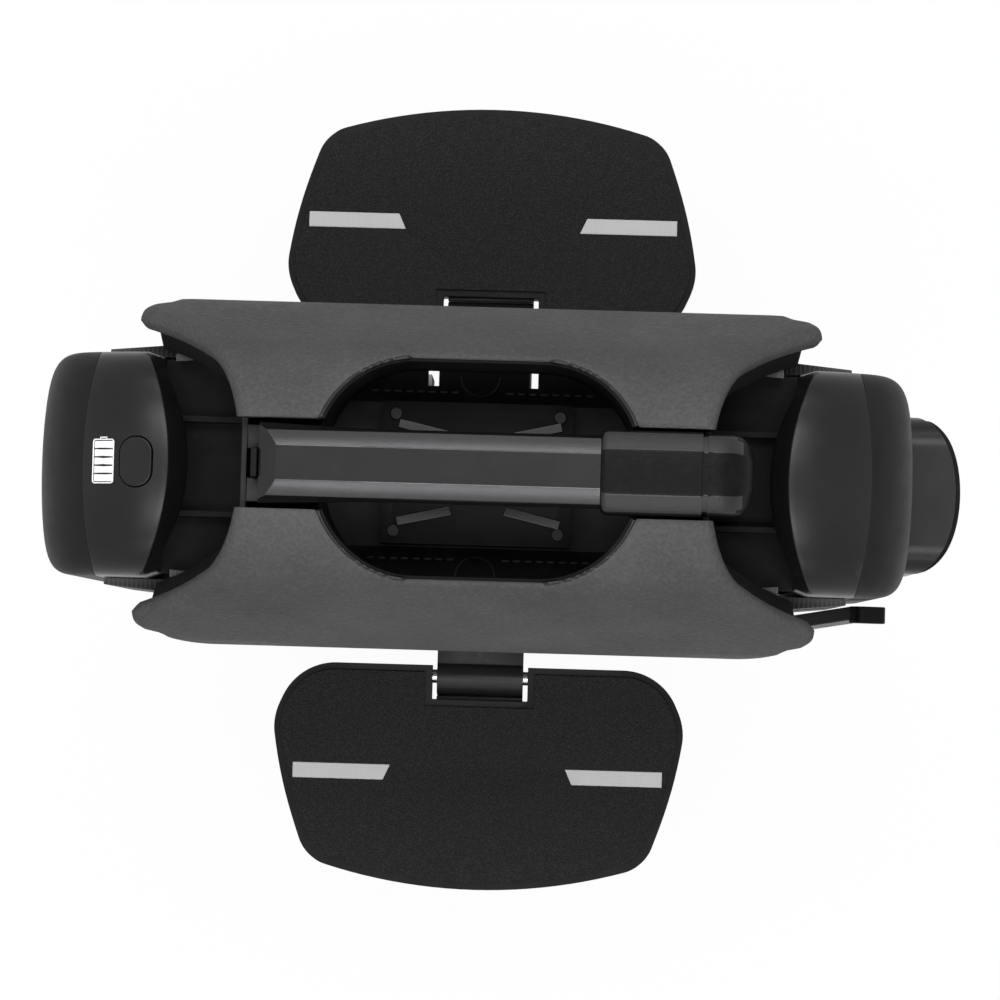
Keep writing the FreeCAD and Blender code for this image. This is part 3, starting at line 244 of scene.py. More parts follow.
def clear_lens():
    material, tree, shader = new_surface("lens")
    point = object_point(tree)
    tint = ramp(tree, noise(tree, point, 0.05), [(0.3, (0.5, 0.5, 0.51)), (0.7, (0.56, 0.56, 0.57))])
    give_finish(tree, shader, tint, noise(tree, point, 0.02), (0.02, 0.06))
    shader.inputs["Transmission Weight"].default_value = 1.0
    shader.inputs["IOR"].default_value = 1.49
    return material


def red_lens():
    material, tree, shader = new_surface("tail_red")
    point = object_point(tree)
    facet = cells(tree, point, 0.003, randomness=0.0)
    base = ramp(tree, facet, [(0.1, (0.36, 0.012, 0.014)), (0.6, (0.22, 0.006, 0.008))])
    give_finish(tree, shader, base, noise(tree, point, 0.02), (0.1, 0.18))
    relief(tree, facet, 0.0004, shader)
    shader.inputs["Coat Weight"].default_value = 0.15
    return material


def grey(level):
    return level, level, 1.03 * level


def make_materials():
    return {
        "tyre": moulded("tyre", grey(0.014), grey(0.024), (0.62, 0.82), patch=0.03, grain=0.0012,
                        depth=0.00025),
        "rim_black": moulded("rim_black", grey(0.018), grey(0.026), (0.32, 0.45), 0.35, edge=grey(0.08)),
        "steel": moulded("steel", grey(0.48), grey(0.58), (0.22, 0.36), 1.0, grain=0.0004, edge=grey(0.7)),
        "iron": moulded("iron", grey(0.12), grey(0.2), (0.45, 0.6), 0.9, patch=0.01),
        "copper": moulded("copper", (0.5, 0.2, 0.08), (0.62, 0.28, 0.12), (0.25, 0.4), 1.0, patch=0.01),
        "bronze": moulded("bronze", (0.42, 0.28, 0.12), (0.52, 0.36, 0.17), (0.35, 0.5), 1.0),
        "alloy": moulded("alloy", grey(0.1), grey(0.14), (0.36, 0.5), 0.95, grain=0.0005, edge=grey(0.2)),
        "alloy_black": moulded("alloy_black", grey(0.014), grey(0.02), (0.36, 0.5), 0.5, edge=grey(0.05)),
        "pedal_black": moulded("pedal_black", grey(0.009), grey(0.013), (0.45, 0.58), edge=grey(0.03),
                               gloss=0.08),
        "grip_sheet": grip_sheet(),
        "stripe": reflective_film(),
        "black_plastic": moulded("black_plastic", grey(0.005), grey(0.008), (0.55, 0.7), edge=grey(0.015),
                                 gloss=0.07),
        "textured_plastic": dotted_plastic(),
        "satin_plastic": moulded("satin_plastic", grey(0.004), grey(0.006), (0.27, 0.35), edge=grey(0.02),
                                 gloss=0.24),
        "band": moulded("band", grey(0.007), grey(0.010), (0.46, 0.54), edge=grey(0.02), gloss=0.1),
        "pad_leather": leather(),
        "reflector": moulded("reflector", grey(0.8), grey(0.86), (0.06, 0.12), 1.0, depth=0.000002),
        "lens": clear_lens(),
        "tail_red": red_lens(),
        "rubber": moulded("rubber", grey(0.002), grey(0.005), (0.3, 0.45), patch=0.006, grain=0.0022,
                          depth=0.0002, gloss=0.08),
        # The grip's rubber painted lighter and glossier, a painted highlight for its sloping shoulders
        "grip_shoulder": moulded("grip_shoulder", grey(0.006), grey(0.01), (0.3, 0.4), patch=0.006,
                                 grain=0.0022, depth=0.0001, gloss=0.36),
        "board": moulded("board", (0.01, 0.11, 0.045), (0.014, 0.15, 0.06), (0.3, 0.45), patch=0.01),
        # The handle's metal painted lighter, a painted highlight for the bar's chamfers
        "handle_painted_highlight": moulded("handle_painted_highlight", grey(0.058), grey(0.066), (0.14, 0.2), 0.75, edge=grey(0.09)),
        "handle_metal": moulded("handle_metal", grey(0.028), grey(0.033), (0.12, 0.18), 0.75,
                                edge=grey(0.08)),
        "indicator_white": moulded("indicator_white", grey(0.8), grey(0.86), (0.25, 0.35), patch=0.01),
    }


materials = make_materials()


# Pieces

def paint(obj, slot):
    obj.data.materials.clear()
    obj.data.materials.append(materials[slot])


def settle(obj, body, slot, *replaced):
    # Gives a finished piece its material, its body and the nodes that it stands for.
    paint(obj, slot)
    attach(obj, body)
    if replaced:
        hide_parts(*replaced)
    return obj


def add_bevel(obj, width, segments=3, angle=32.0):
    bevel = obj.modifiers.new("edges", "BEVEL")
    bevel.width = width
    bevel.segments = segments
    bevel.limit_method = "ANGLE"
    bevel.angle_limit = math.radians(angle)
    bevel.use_clamp_overlap = True
    bevel.harden_normals = True
    bevel.miter_outer = "MITER_ARC"
    return bevel


def new_object(name, data):
    obj = bpy.data.objects.new(name, data)
    bpy.context.scene.collection.objects.link(obj)
    return obj


def mesh_piece(name, verts, faces, sharp=40.0):
    mesh = bpy.data.meshes.new(name)
    mesh.from_pydata([tuple(mm * c for c in v) for v in verts], [], faces)
    tidy = bmesh.new()
    tidy.from_mesh(mesh)
    bmesh.ops.remove_doubles(tidy, verts=tidy.verts, dist=1e-6)
    bmesh.ops.recalc_face_normals(tidy, faces=tidy.faces)
    tidy.to_mesh(mesh)
    tidy.free()
    return add_piece(name, mesh, sharp)


def add_piece(name, mesh, sharp=40.0):
    mesh.shade_smooth()
    mesh.set_sharp_from_angle(angle=math.radians(sharp))
    return new_object(name, mesh)


def grid_faces(rows, columns, close_rows=False, close_columns=False, start=0):
    faces = []
    for i in range(rows if close_rows else rows - 1):
        for j in range(columns if close_columns else columns - 1):
            a = start + i * columns + j
            b = start + i * columns + (j + 1) % columns
            c = start + ((i + 1) % rows) * columns + (j + 1) % columns
            d = start + ((i + 1) % rows) * columns + j
            faces.append((a, b, c, d))
    return faces


def end_caps(rows, columns):
    # Faces that close both ends of a row of rings.
    return [tuple(range(columns)), tuple(range((rows - 1) * columns, rows * columns))]


def refined(node, bevel=0.0008, segments=3, flat=1.0):
    # A copy of a CAD node with its flat faces joined up and its edges rounded.
    source = bmesh.new()
    source.from_mesh(nodes[node].data)
    bmesh.ops.remove_doubles(source, verts=source.verts, dist=2e-6)
    bmesh.ops.dissolve_limit(source, angle_limit=math.radians(flat), verts=source.verts, edges=source.edges)
    bmesh.ops.recalc_face_normals(source, faces=source.faces)
    mesh = bpy.data.meshes.new(node + "_dressed")
    source.to_mesh(mesh)
    source.free()
    obj = add_piece(node + "_dressed", mesh)
    if bevel:
        add_bevel(obj, bevel, segments)
    return settle(obj, body_of[node], slot_of[node], node)


# Shapes. Lengths from here to the stage are in millimetres, but bevels and meshes are in metres.

def node_box(node):
    low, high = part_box(node)
    return low / mm, high / mm


def arc(a, b, c, count):
    # Points on the circle through a, b and c, from a to c.
    (ax, ay), (bx, by), (cx, cy) = a, b, c
    aa = ax * ax + ay * ay
    bb = bx * bx + by * by
    cc = cx * cx + cy * cy
    twice = 2.0 * (ax * (by - cy) + bx * (cy - ay) + cx * (ay - by))
    ux = (aa * (by - cy) + bb * (cy - ay) + cc * (ay - by)) / twice
    uy = (aa * (cx - bx) + bb * (ax - cx) + cc * (bx - ax)) / twice
    radius = math.hypot(ax - ux, ay - uy)
    start = math.atan2(ay - uy, ax - ux)
    middle = (math.atan2(by - uy, bx - ux) - start) % math.tau
    sweep = (math.atan2(cy - uy, cx - ux) - start) % math.tau
    if middle > sweep:
        sweep -= math.tau
    angles = [start + sweep * i / count for i in range(count + 1)]
    return [(ux + radius * math.cos(t), uy + radius * math.sin(t)) for t in angles]


def chain(curves, count):
    # Points along three-point arcs that follow one another.
    return [p for curve in curves for p in arc(*curve, count)[:-1]] + [curves[-1][-1]]


class Track:
    # A line of points in a plane that can be read at any distance along it.
    def __init__(self, points):
        self.points = [Vector(p) for p in points]
        self.marks = [0.0]
        for here, there in zip(self.points, self.points[1:]):
            self.marks.append(self.marks[-1] + (there - here).length)
        self.length = self.marks[-1]

    def at(self, distance):
        index = min(max(bisect.bisect_right(self.marks, distance) - 1, 0), len(self.points) - 2)
        share = (distance - self.marks[index]) / (self.marks[index + 1] - self.marks[index])
        return self.points[index].lerp(self.points[index + 1], share)

    def normal(self, distance):
        ahead = self.at(min(distance + 1.0, self.length)) - self.at(max(distance - 1.0, 0.0))
        return Vector((-ahead.y, ahead.x)).normalized()


def tube(name, points, radius, sides=10, closed=False):
    # A round bar along a line of points.
    path = [Vector(p) for p in points]
    count = len(path)
    verts = []
    for i, here in enumerate(path):
        before = path[i - 1] if closed or i else here
        after = path[(i + 1) % count] if closed or i < count - 1 else here
        ahead = (after - before).normalized()
        other = Vector((0.0, 0.0, 1.0)) if abs(ahead.z) < 0.9 else Vector((1.0, 0.0, 0.0))
        aside = ahead.cross(other).normalized()
        up = aside.cross(ahead)
        for k in range(sides):
            turn = math.tau * k / sides
            verts.append(here + radius * (math.cos(turn) * aside + math.sin(turn) * up))
    faces = grid_faces(count, sides, close_rows=closed, close_columns=True)
    if not closed:
        faces += end_caps(count, sides)
    return mesh_piece(name, verts, faces, 60.0)


def prism(name, outline, place, low, high):
    # An outline drawn out from low to high, with each point put in its place.
    count = len(outline)
    verts = [place(a, b, low) for a, b in outline] + [place(a, b, high) for a, b in outline]
    return mesh_piece(name, verts, end_caps(2, count) + grid_faces(2, count, close_columns=True))


def slab(name, outline, low, high, bevel=0.0):
    # A flat plate from its outline.
    piece = prism(name, outline, lambda x, y, z: (x, y, z), low, high)
    if bevel:
        add_bevel(piece, mm * bevel)
    return piece


def block(name, low, high, bevel=0.0):
    outline = [(low[0], low[1]), (high[0], low[1]), (high[0], high[1]), (low[0], high[1])]
    return slab(name, outline, low[2], high[2], bevel)


def join(name, pieces):
    # Makes one piece of several.
    whole = bmesh.new()
    for piece in pieces:
        whole.from_mesh(baked(piece).data)
        bpy.data.objects.remove(piece)
    mesh = bpy.data.meshes.new(name)
    whole.to_mesh(mesh)
    whole.free()
    return add_piece(name, mesh)


def baked(piece):
    # Turns a piece's modifiers into plain mesh.
    view = bpy.context.evaluated_depsgraph_get()
    mesh = bpy.data.meshes.new_from_object(piece.evaluated_get(view))
    piece.modifiers.clear()
    piece.data = mesh
    return piece


def carve(piece, cutter, sharp=40.0):
    cut = piece.modifiers.new("cut", "BOOLEAN")
    cut.operation = "DIFFERENCE"
    cut.solver = "EXACT"
    cut.object = cutter
    baked(piece)
    bpy.data.objects.remove(cutter)
    piece.data.shade_smooth()
    piece.data.set_sharp_from_angle(angle=math.radians(sharp))
    return piece


def thicken(piece, depth):
    wall = piece.modifiers.new("wall", "SOLIDIFY")
    wall.thickness = mm * depth
    wall.offset = -1.0
    return baked(piece)


edge_steps = (0.0, 0.3, 0.9, 1.8, 3.0, 4.6, 6.5)


def edged_steps(length, count):
    # Places along a length, closer together near both ends.
    inner = edge_steps[-1]
    middle = [inner + (length - 2.0 * inner) * i / count for i in range(count + 1)]
    return list(edge_steps[:-1]) + middle + [length - step for step in reversed(edge_steps[:-1])]


def sheet_faces(columns, rows):
    # Faces of a closed sheet: an outer grid, an inner grid and the walls round their edges.
    inner = columns * rows
    faces = grid_faces(columns, rows) + grid_faces(columns, rows, start=inner)
    rim = [i * rows for i in range(columns)]
    rim += [(columns - 1) * rows + j for j in range(1, rows)]
    rim += [i * rows + rows - 1 for i in range(columns - 2, -1, -1)]
    rim += list(range(rows - 2, 0, -1))
    for here, there in zip(rim, rim[1:] + rim[:1]):
        faces.append((here, there, there + inner, here + inner))
    return faces


# Knee pads: heights are from the deck

deck = node_box("controller_box")[0].z
pad_section = (((28.0, 130.0), (57.0, 114.0), (81.0, 80.0)), ((81.0, 80.0), (96.5, 40.0), (109.0, -4.0)),
               ((109.0, -4.0), (111.5, -70.0), (104.0, -142.0)))
pad_ends = (((147.0, 130.0), (172.0, 84.0), (212.0, 36.0)), ((212.0, 36.0), (217.0, 24.0), (205.0, 8.0)))
pad_foot = (140.0, -155.0)
pad_depth = 12.5
pad_round = 5.0
pad_end_round = 8.5
pad_end_tuck = 3.0
pad_lane = 28.0
back_depths = (11.0, 23.0)
back_insets = (3.4, 6.0)
back_wall = 3.0
back_reach = 0.75
back_steps = 60
back_low = 38.0
back_bevel = 0.0006
pad_nominal = 180.0
pad_columns = 110
pad_rows = 44
pad_arc_steps = 24
pad_sharp = 50.0
halvings = 24
pad_gap = 0.3
cavity_corner = 62.5
liner_low, liner_high = node_box("cavity_liner")
pad_line = Track(chain(pad_section, pad_arc_steps))
pad_side = chain(pad_ends, pad_arc_steps) + [pad_foot]


def pad_half(z):
    # Half the pad's length at a height.
    for (half0, z0), (half1, z1) in zip(pad_side, pad_side[1:]):
        if z >= z1:
            return half0 + (half1 - half0) * (z0 - z) / (z0 - z1)
    return pad_foot[0]


def cavity_reach(x, grow=0.0):
    # Half the hand cavity's width at a place along it, with its liner.
    corner = cavity_corner + grow
    past = max(x - liner_high.x - grow + corner, liner_low.x - grow + corner - x, 0.0)
    if past >= corner:
        return 0.0
    return liner_high.y + grow - corner + math.sqrt(corner ** 2 - past ** 2)


def pad_start(share):
    # Where the pad's surface begins beside the cavity.
    def inside(distance):
        y, z = pad_line.at(distance)
        return y < cavity_reach(share * pad_half(z), pad_gap)
    if not inside(0.0):
        return 0.0
    low = 0.0
    high = 0.5 * pad_line.length
    for _ in range(halvings):
        middle = 0.5 * (low + high)
        low, high = (middle, high) if inside(middle) else (low, middle)
    return high


def edge_drop(distance, radius):
    # How far a rounded edge lies under the surface.
    into = min(max(1.0 - distance / radius, 0.0), 1.0)
    return radius * (1.0 - math.sqrt(1.0 - into ** 2))


def pad_drop(share, half, distance, start):
    ends = edge_drop((1.0 - abs(share)) * half, pad_end_round)
    top = edge_drop(distance - start, pad_round)
    hem = edge_drop(pad_line.length - distance, pad_round)
    return min(math.sqrt(ends ** 2 + top ** 2 + hem ** 2), pad_end_round)


def under_pad(x, distance, depth):
    # A place under the pad's surface that stays out of the cavity and the handle's lane.
    y, z = pad_line.at(distance)
    out_y, out_z = pad_line.normal(distance)
    keep = max(cavity_reach(x, pad_gap), pad_lane)
    return max(y - depth * out_y, keep), deck + z - depth * out_z


def knee_pad(name, side):
    shares = [step / pad_nominal - 1.0 for step in edged_steps(2.0 * pad_nominal, pad_columns)]
    skin = []
    back = []
    for share in shares:
        start = pad_start(share)
        steps = [start + step for step in edged_steps(pad_line.length - start, pad_rows)]
        for distance in steps:
            half = pad_half(pad_line.at(distance).y)
            x = share * half
            y, z = under_pad(x, distance, pad_drop(share, half, distance, start))
            skin.append((x, side * y, z))
            x = share * (half - pad_end_tuck)
            y, z = under_pad(x, distance, pad_depth)
            back.append((x, side * y, z))
    rows = len(skin) // len(shares)
    pad = mesh_piece(name, skin + back, sheet_faces(len(shares), rows), pad_sharp)
    return settle(pad, "shell", "pad_leather", "knee_pad_left" if side > 0 else "knee_pad_right")


def pad_end_wall(name, side, facing):
    # Dark backing that shows under the end of a pad.
    verts = []
    rows = 0
    insets = back_insets + tuple(inset + back_wall for inset in reversed(back_insets))
    for i in range(back_steps + 1):
        distance = back_reach * pad_line.length * i / back_steps
        z = pad_line.at(distance).y
        if z < back_low:
            break
        rows += 1
        for depth, inset in zip(back_depths + back_depths[::-1], insets):
            x = facing * (pad_half(z) - inset)
            y, height = under_pad(x, distance, depth)
            verts.append((x, side * y, height))
    faces = grid_faces(rows, len(insets), close_columns=True) + end_caps(rows, len(insets))
    wall = mesh_piece(name, verts, faces)
    add_bevel(wall, back_bevel, 2)
    return settle(wall, "shell", "black_plastic")


# Trim round the hand cavity, between the liner and the pads

trim_radius = 1.3
trim_depth = 1.6
trim_steps = 120


def cavity_trim(name, side):
    points = []
    flat = liner_high.y - cavity_corner
    middle = 0.5 * (liner_low.x + liner_high.x)
    reach = 0.5 * (liner_high.x - liner_low.x) - cavity_corner
    for i in range(trim_steps + 1):
        turn = math.pi * i / trim_steps
        x = middle + math.copysign(reach, math.cos(turn)) + cavity_corner * math.cos(turn)
        y = flat + cavity_corner * math.sin(turn)
        if y < pad_section[0][0][0]:
            continue
        z = next(z for py, z in pad_line.points if py >= y)
        points.append((x, side * y, deck + z - trim_depth))
    return settle(tube(name, points, trim_radius), "shell", "satin_plastic")


# End covers and bands, made towards +X and turned round for the rear

cover_half = 71.0
cover_power = 4.4
cover_corner = 38.0
cover_bend = 90.0
cover_top = 88.0
cover_bottom = -230.0
cover_crown = 40.0
cover_crown_power = 2.3
cover_wall = 3.0
lip_bow = 152.0
break_bow = 334.0
break_gap = 0.35
lip_roll = ((11.0, 24.0), (10.8, 18.0), (10.2, 15.6), (9.2, 14.0), (2.2, 2.4), (1.2, 1.0), (0.5, 0.2))
roll_length = 11.0
roll_aside = 0.2
wall_steps = 7
crown_steps = 40
cover_steps = 16
band_steps = 24
cover_sharp = 50.0
cover_bevel = 0.0005
rear_end = (181.0, 247.0, 279.0)
front_end = (184.0, 248.0, 278.0)


def cover_width(x, end):
    into = min(max(x - end + cover_corner, 0.0) / cover_corner, 1.0)
    return cover_half * (1.0 - into ** cover_power) ** (1.0 / cover_power)


def cover_height(x, end):
    into = min(max(x - end + cover_bend, 0.0), cover_bend)
    return deck + cover_top - cover_bend + math.sqrt(cover_bend ** 2 - into ** 2)


def cover_places():
    # Section places from the left foot over the top to the right foot: side, share and turn.
    walls = [i / wall_steps for i in range(wall_steps)]
    places = [(1, share, None) for share in walls]
    places += [(0, 1.0, math.pi * i / crown_steps) for i in range(crown_steps + 1)]
    return places + [(-1, share, None) for share in reversed(walls)]


def cover_point(x, place, end):
    side, share, turn = place
    half = cover_width(x, end)
    top = cover_height(x, end)
    low = deck + cover_bottom
    if turn is None:
        return Vector((x, side * half, low + share * (top - cover_crown - low)))
    power = 2.0 / cover_crown_power
    y = half * math.copysign(abs(math.cos(turn)) ** power, math.cos(turn))
    return Vector((x, y, top - cover_crown + cover_crown * math.sin(turn) ** power))


def plain_y(place):
    # How far aside a place lies where the end is too far off to narrow the cover.
    return cover_point(0.0, place, 4.0 * cover_bend).y


def cover_row(xs, places, end, drop=0.0):
    # One row across a cover, let in by drop along its outward direction.
    row = [cover_point(x, place, end) for x, place in zip(xs, places)]
    if not drop:
        return row
    moved = []
    for i, here in enumerate(row):
        along = row[min(i + 1, len(row) - 1)] - row[max(i - 1, 0)]
        out = Vector((0.0, along.z, -along.y)).normalized()
        moved.append(here - drop * (roll_aside + (1.0 - roll_aside) * max(out.z, 0.0)) * out)
    return moved


def bow(y, radius):
    return radius - math.sqrt(radius ** 2 - y ** 2)


def cover_sheet(name, rows, facing):
    count = len(rows[0])
    verts = [(facing * p.x, p.y, p.z) for row in rows for p in row]
    return thicken(mesh_piece(name, verts, grid_faces(len(rows), count), cover_sharp), cover_wall)


def end_cover(name, ends, facing):
    lip, line, end = ends
    places = cover_places()
    lips = [lip + bow(plain_y(place), lip_bow) for place in places]
    lines = [line - break_gap / 2.0 - bow(plain_y(place), break_bow) for place in places]
    rows = []
    for along, drop in lip_roll:
        rows.append(cover_row([x + roll_length - along for x in lips], places, end, drop))
    for i in range(cover_steps + 1):
        share = i / cover_steps
        xs = [a + roll_length + (b - a - roll_length) * share for a, b in zip(lips, lines)]
        rows.append(cover_row(xs, places, end))
    return cover_sheet(name, rows, facing)


def end_band(name, ends, facing):
    lip, line, end = ends
    places = cover_places()
    lines = [line + break_gap / 2.0 - bow(plain_y(place), break_bow) for place in places]
    rows = []
    for i in range(band_steps + 1):
        share = math.sin(0.5 * math.pi * i / band_steps)
        rows.append(cover_row([x + (end - x) * share for x in lines], places, end))
    return cover_sheet(name, rows, facing)


def rear_top(x):
    # Gives a function that puts local places, along, across and out, on the rear cover's top.
    slope = math.asin((x - rear_end[2] + cover_bend) / cover_bend)
    height = cover_height(x, rear_end[2])
    ahead = Vector((-math.cos(slope), 0.0, -math.sin(slope)))
    out = Vector((-math.sin(slope), 0.0, math.cos(slope)))
    foot = Vector((-x, 0.0, height))
    return lambda along, across, rise: foot + along * ahead + Vector((0.0, across, 0.0)) + rise * out


def rounded_box(half_a, half_b, corner, count=8):
    # Outline of a rounded rectangle about the origin.
    points = []
    for quarter, (sa, sb) in enumerate(((1, 1), (-1, 1), (-1, -1), (1, -1))):
        for i in range(count + 1):
            turn = 0.5 * math.pi * (quarter + i / count)
            points.append((sa * (half_a - corner) + corner * math.cos(turn),
                           sb * (half_b - corner) + corner * math.sin(turn)))
    return points


button_x = 212.0
button_half = (10.5, 15.5)
button_play = 0.8
button_flat = 0.4
button_cut = (-12.0, 6.0)
meter_x = 233.0
meter_half = (7.0, 13.0)
meter_frame = 0.6
meter_line = 0.42
meter_corner = 1.6
meter_nub = (2.4, 1.3)
port_radius = 11.2
port_cut = (-300.0, -257.0)
port_steps = 48


def settle_end(piece, node):
    add_bevel(piece, cover_bevel, 2, cover_sharp)
    return settle(piece, "shell", "satin_plastic", node)


def build_ends():
    cover = end_cover("rear_cover_shell", rear_end, -1)
    hole_half = [half + button_play for half in button_half]
    hole = rounded_box(*hole_half, hole_half[0] - button_flat)
    carve(cover, prism("button_cut", hole, rear_top(button_x), *button_cut), cover_sharp)
    settle_end(cover, "rear_cover")
    settle_end(end_cover("front_cover_shell", front_end, 1), "front_cover")
    low, high = node_box("charge_port")
    middle = 0.5 * (low.z + high.z)
    turns = [math.tau * i / port_steps for i in range(port_steps)]
    round_hole = [(port_radius * math.cos(t), port_radius * math.sin(t)) for t in turns]
    rear = end_band("rear_band_shell", rear_end, -1)
    cutter = prism("port_cut", round_hole, lambda a, b, h: Vector((h, a, middle + b)), *port_cut)
    carve(rear, cutter, cover_sharp)
    rear = join("rear_band_shell", [rear] + cap_ears())
    paint(settle_end(rear, "end_bands"), "band")
    front = end_band("front_band_shell", front_end, 1)
    paint(settle_end(front, "end_bands"), "band")


def cap_ears():
    # Two ears and the pin that the charge port's cap turns on.
    pivot_x = -282.0
    pivot_z = 393.5
    half_pin = 1.5
    near = 4.5
    far = 8.0
    root_x = -276.0
    ears = [block("ear", (pivot_x - half_pin, min(s * near, s * far), pivot_z - half_pin),
                  (root_x, max(s * near, s * far), pivot_z + half_pin)) for s in (-1, 1)]
    return ears + [tube("pin", [(pivot_x, -far, pivot_z), (pivot_x, far, pivot_z)], half_pin, 16)]


def build_rear_controls():
    place = rear_top(meter_x)
    frame_line = rounded_box(meter_half[0] + meter_frame, meter_half[1] + meter_frame, meter_corner)
    line = tube("meter_frame", [place(a, b, 0.0) for a, b in frame_line], meter_line, 8, True)
    top = meter_half[1] + meter_frame
    half, rise = meter_nub
    nub = [(-half, top), (-half, top + rise), (half, top + rise), (half, top)]
    cap = tube("meter_nub", [place(a, b, 0.0) for a, b in nub], meter_line, 8)
    settle(join("meter_outline", [line, cap]), "shell", "indicator_white")


# Carry handle

handle_top = node_box("handle_bar")[1].z
bar_rear = node_box("handle_bar")[0].x
grip_rear = node_box("rubber_grip")[0].x
grip_front = node_box("rubber_grip")[1].x
grip_low = node_box("rubber_grip")[0].z
bar_section = ((10.8, 0.0), (15.6, -2.6), (20.2, -6.0), (21.6, -9.0), (22.5, -13.5), (22.5, -20.0),
               (16.0, -26.0))
bar_bevel = 11.0
bar_crease = 15.0
bar_round = 0.0005
bar_in_grip = 4.0
cut_reach = 20.0
cut_half = 60.0
switch_room = 0.5
switch_rise = 1.5
# Which faces get the painted highlight: how far up they face, and how far they face aside
highlight_slope_range = (0.6, 0.96)
highlight_slope_aside = 0.2
flare = 2.6
flare_length = 64.0
flare_from = -10.0
grip_half = 26.0
grip_top = 702.0
grip_nose = 26.0
grip_crown = ((1.0, -11.0), (0.985, -9.0), (0.94, -6.4), (0.877, -5.0), (0.585, -0.8), (0.53, -0.15),
              (0.475, 0.0))
grip_shoulder = 11.0
shoulder_share = 0.8
grip_edge = 2.0
grip_lead = 5.0
lead_drop = 0.4
grip_mid = 30.0
grip_sharp = 50.0
notch_x = 141.0
notch_half = 1.6
notch_depth = 1.8
notch_lead = 1.2
notch_wall = 0.1
nose_half = 25.0
nose_round = 15.0
nose_steps = 16


def paint_slope_highlights(piece, finish):
    # Gives the sloping faces along a piece a lighter copy of its material: a painted highlight.
    piece.data.materials.append(materials[finish])
    for face in piece.data.polygons:
        sloping = highlight_slope_range[0] < face.normal.z < highlight_slope_range[1] and abs(face.normal.y) > highlight_slope_aside
        face.material_index = 1 if sloping else 0


def build_bar():
    xs = [bar_rear, bar_rear + flare_length, grip_rear + bar_in_grip]
    verts = []
    for x in xs:
        grow = flare * max(1.0 - (x - bar_rear) / flare_length, 0.0)
        half = [(y + (grow if z < flare_from else 0.0), z) for y, z in bar_section]
        ring = [(-y, z) for y, z in reversed(half)] + half
        verts += [(x, y, handle_top + z) for y, z in ring]
    count = 2 * len(bar_section)
    faces = grid_faces(len(xs), count, close_columns=True) + end_caps(len(xs), count)
    bar = mesh_piece("handle_bar_shell", verts, faces, bar_crease)
    behind = bar_rear - cut_reach
    corner = [(behind, handle_top - bar_bevel - cut_reach), (behind, handle_top + bar_bevel + cut_reach),
              (bar_rear + bar_bevel + cut_reach, handle_top + cut_reach)]
    cutter = prism("bevel_cut", corner, lambda a, b, h: Vector((a, h, b)), -cut_half, cut_half)
    carve(bar, cutter, bar_crease)
    low, high = node_box("lift_switch")
    pocket_low = (low.x - switch_room, low.y - switch_room, low.z - cut_reach)
    pocket_high = (high.x + switch_room, high.y + switch_room, high.z + switch_room + switch_rise)
    carve(bar, block("switch_cut", pocket_low, pocket_high), bar_crease)
    add_bevel(bar, bar_round, 3, bar_crease)
    settle(bar, "handle", "handle_metal", "handle_bar")
    # The bar's chamfers get the lighter copy of its metal: a painted highlight
    paint_slope_highlights(bar, "handle_painted_highlight")


def grip_width(x):
    if x <= notch_x - notch_half:
        return grip_half
    if x <= notch_x + notch_half:
        return grip_half - notch_depth
    past = max(x - grip_front + nose_round, 0.0)
    return nose_half - nose_round + math.sqrt(max(nose_round ** 2 - past ** 2, 0.0))


def grip_height(x):
    past = max(x - grip_front + grip_nose, 0.0)
    return grip_top - grip_nose + math.sqrt(max(grip_nose ** 2 - past ** 2, 0.0))


def grip_ring(half, top):
    # Section of the grip: a flat foot, upright sides, sloping shoulders and a flat top.
    rise = min(grip_shoulder, shoulder_share * (top - grip_low))
    crown = [(half * share, top + drop * rise / grip_shoulder) for share, drop in grip_crown]
    crown += [(-y, z) for y, z in reversed(crown)]
    foot = grip_low + min(grip_edge, 0.5 * (top - rise - grip_low))
    right = [(-half, foot), (grip_edge - half, grip_low)]
    return [(half - grip_edge, grip_low), (half, foot)] + crown + right


def build_grip():
    bend = grip_front - grip_nose
    xs = [grip_rear + step for step in (*edge_steps, grip_mid)] + [notch_x - notch_half - notch_lead]
    for edge in (notch_x - notch_half, notch_x + notch_half):
        xs += [edge, edge + notch_wall]
    xs += [bend + grip_nose * math.sin(0.5 * math.pi * i / nose_steps) for i in range(1, nose_steps + 1)]
    xs = sorted(xs)
    verts = []
    for x in xs:
        inset = edge_drop(x - grip_rear, grip_lead)
        half = grip_width(x) - inset
        top = grip_height(x) - lead_drop * inset
        ring = grip_ring(half, top)
        verts += [(x, y, z) for y, z in ring]
    sides = len(ring)
    faces = grid_faces(len(xs), sides, close_columns=True) + end_caps(len(xs), sides)
    grip = mesh_piece("grip_sleeve", verts, faces, grip_sharp)
    settle(grip, "handle", "rubber", "rubber_grip")
    # The grip's sloping shoulders get the lighter copy of its rubber: a painted highlight
    paint_slope_highlights(grip, "grip_shoulder")


# Headlight, drawn in at its sides

lamp_nodes = ("headlight_housing", "headlight_reflector", "headlight_lens")
lamp_half = node_box("headlight_housing")[1].y
lamp_bow = 18.0
lamp_round = 30.0
lamp_limit = 0.985
lamp_root = (272.0, 298.0)
rim_slant = 0.3


def lamp_point(place):
    x, y, z = place / mm
    across = min(abs(y) / lamp_half, 1.0)
    back = lamp_round * (1.0 - math.sqrt(1.0 - lamp_limit * across ** 2)) - lamp_bow * across ** 2
    share = min(max((x - lamp_root[0]) / (lamp_root[1] - lamp_root[0]), 0.0), 1.0)
    return mm * Vector((x - share * back, y, z))


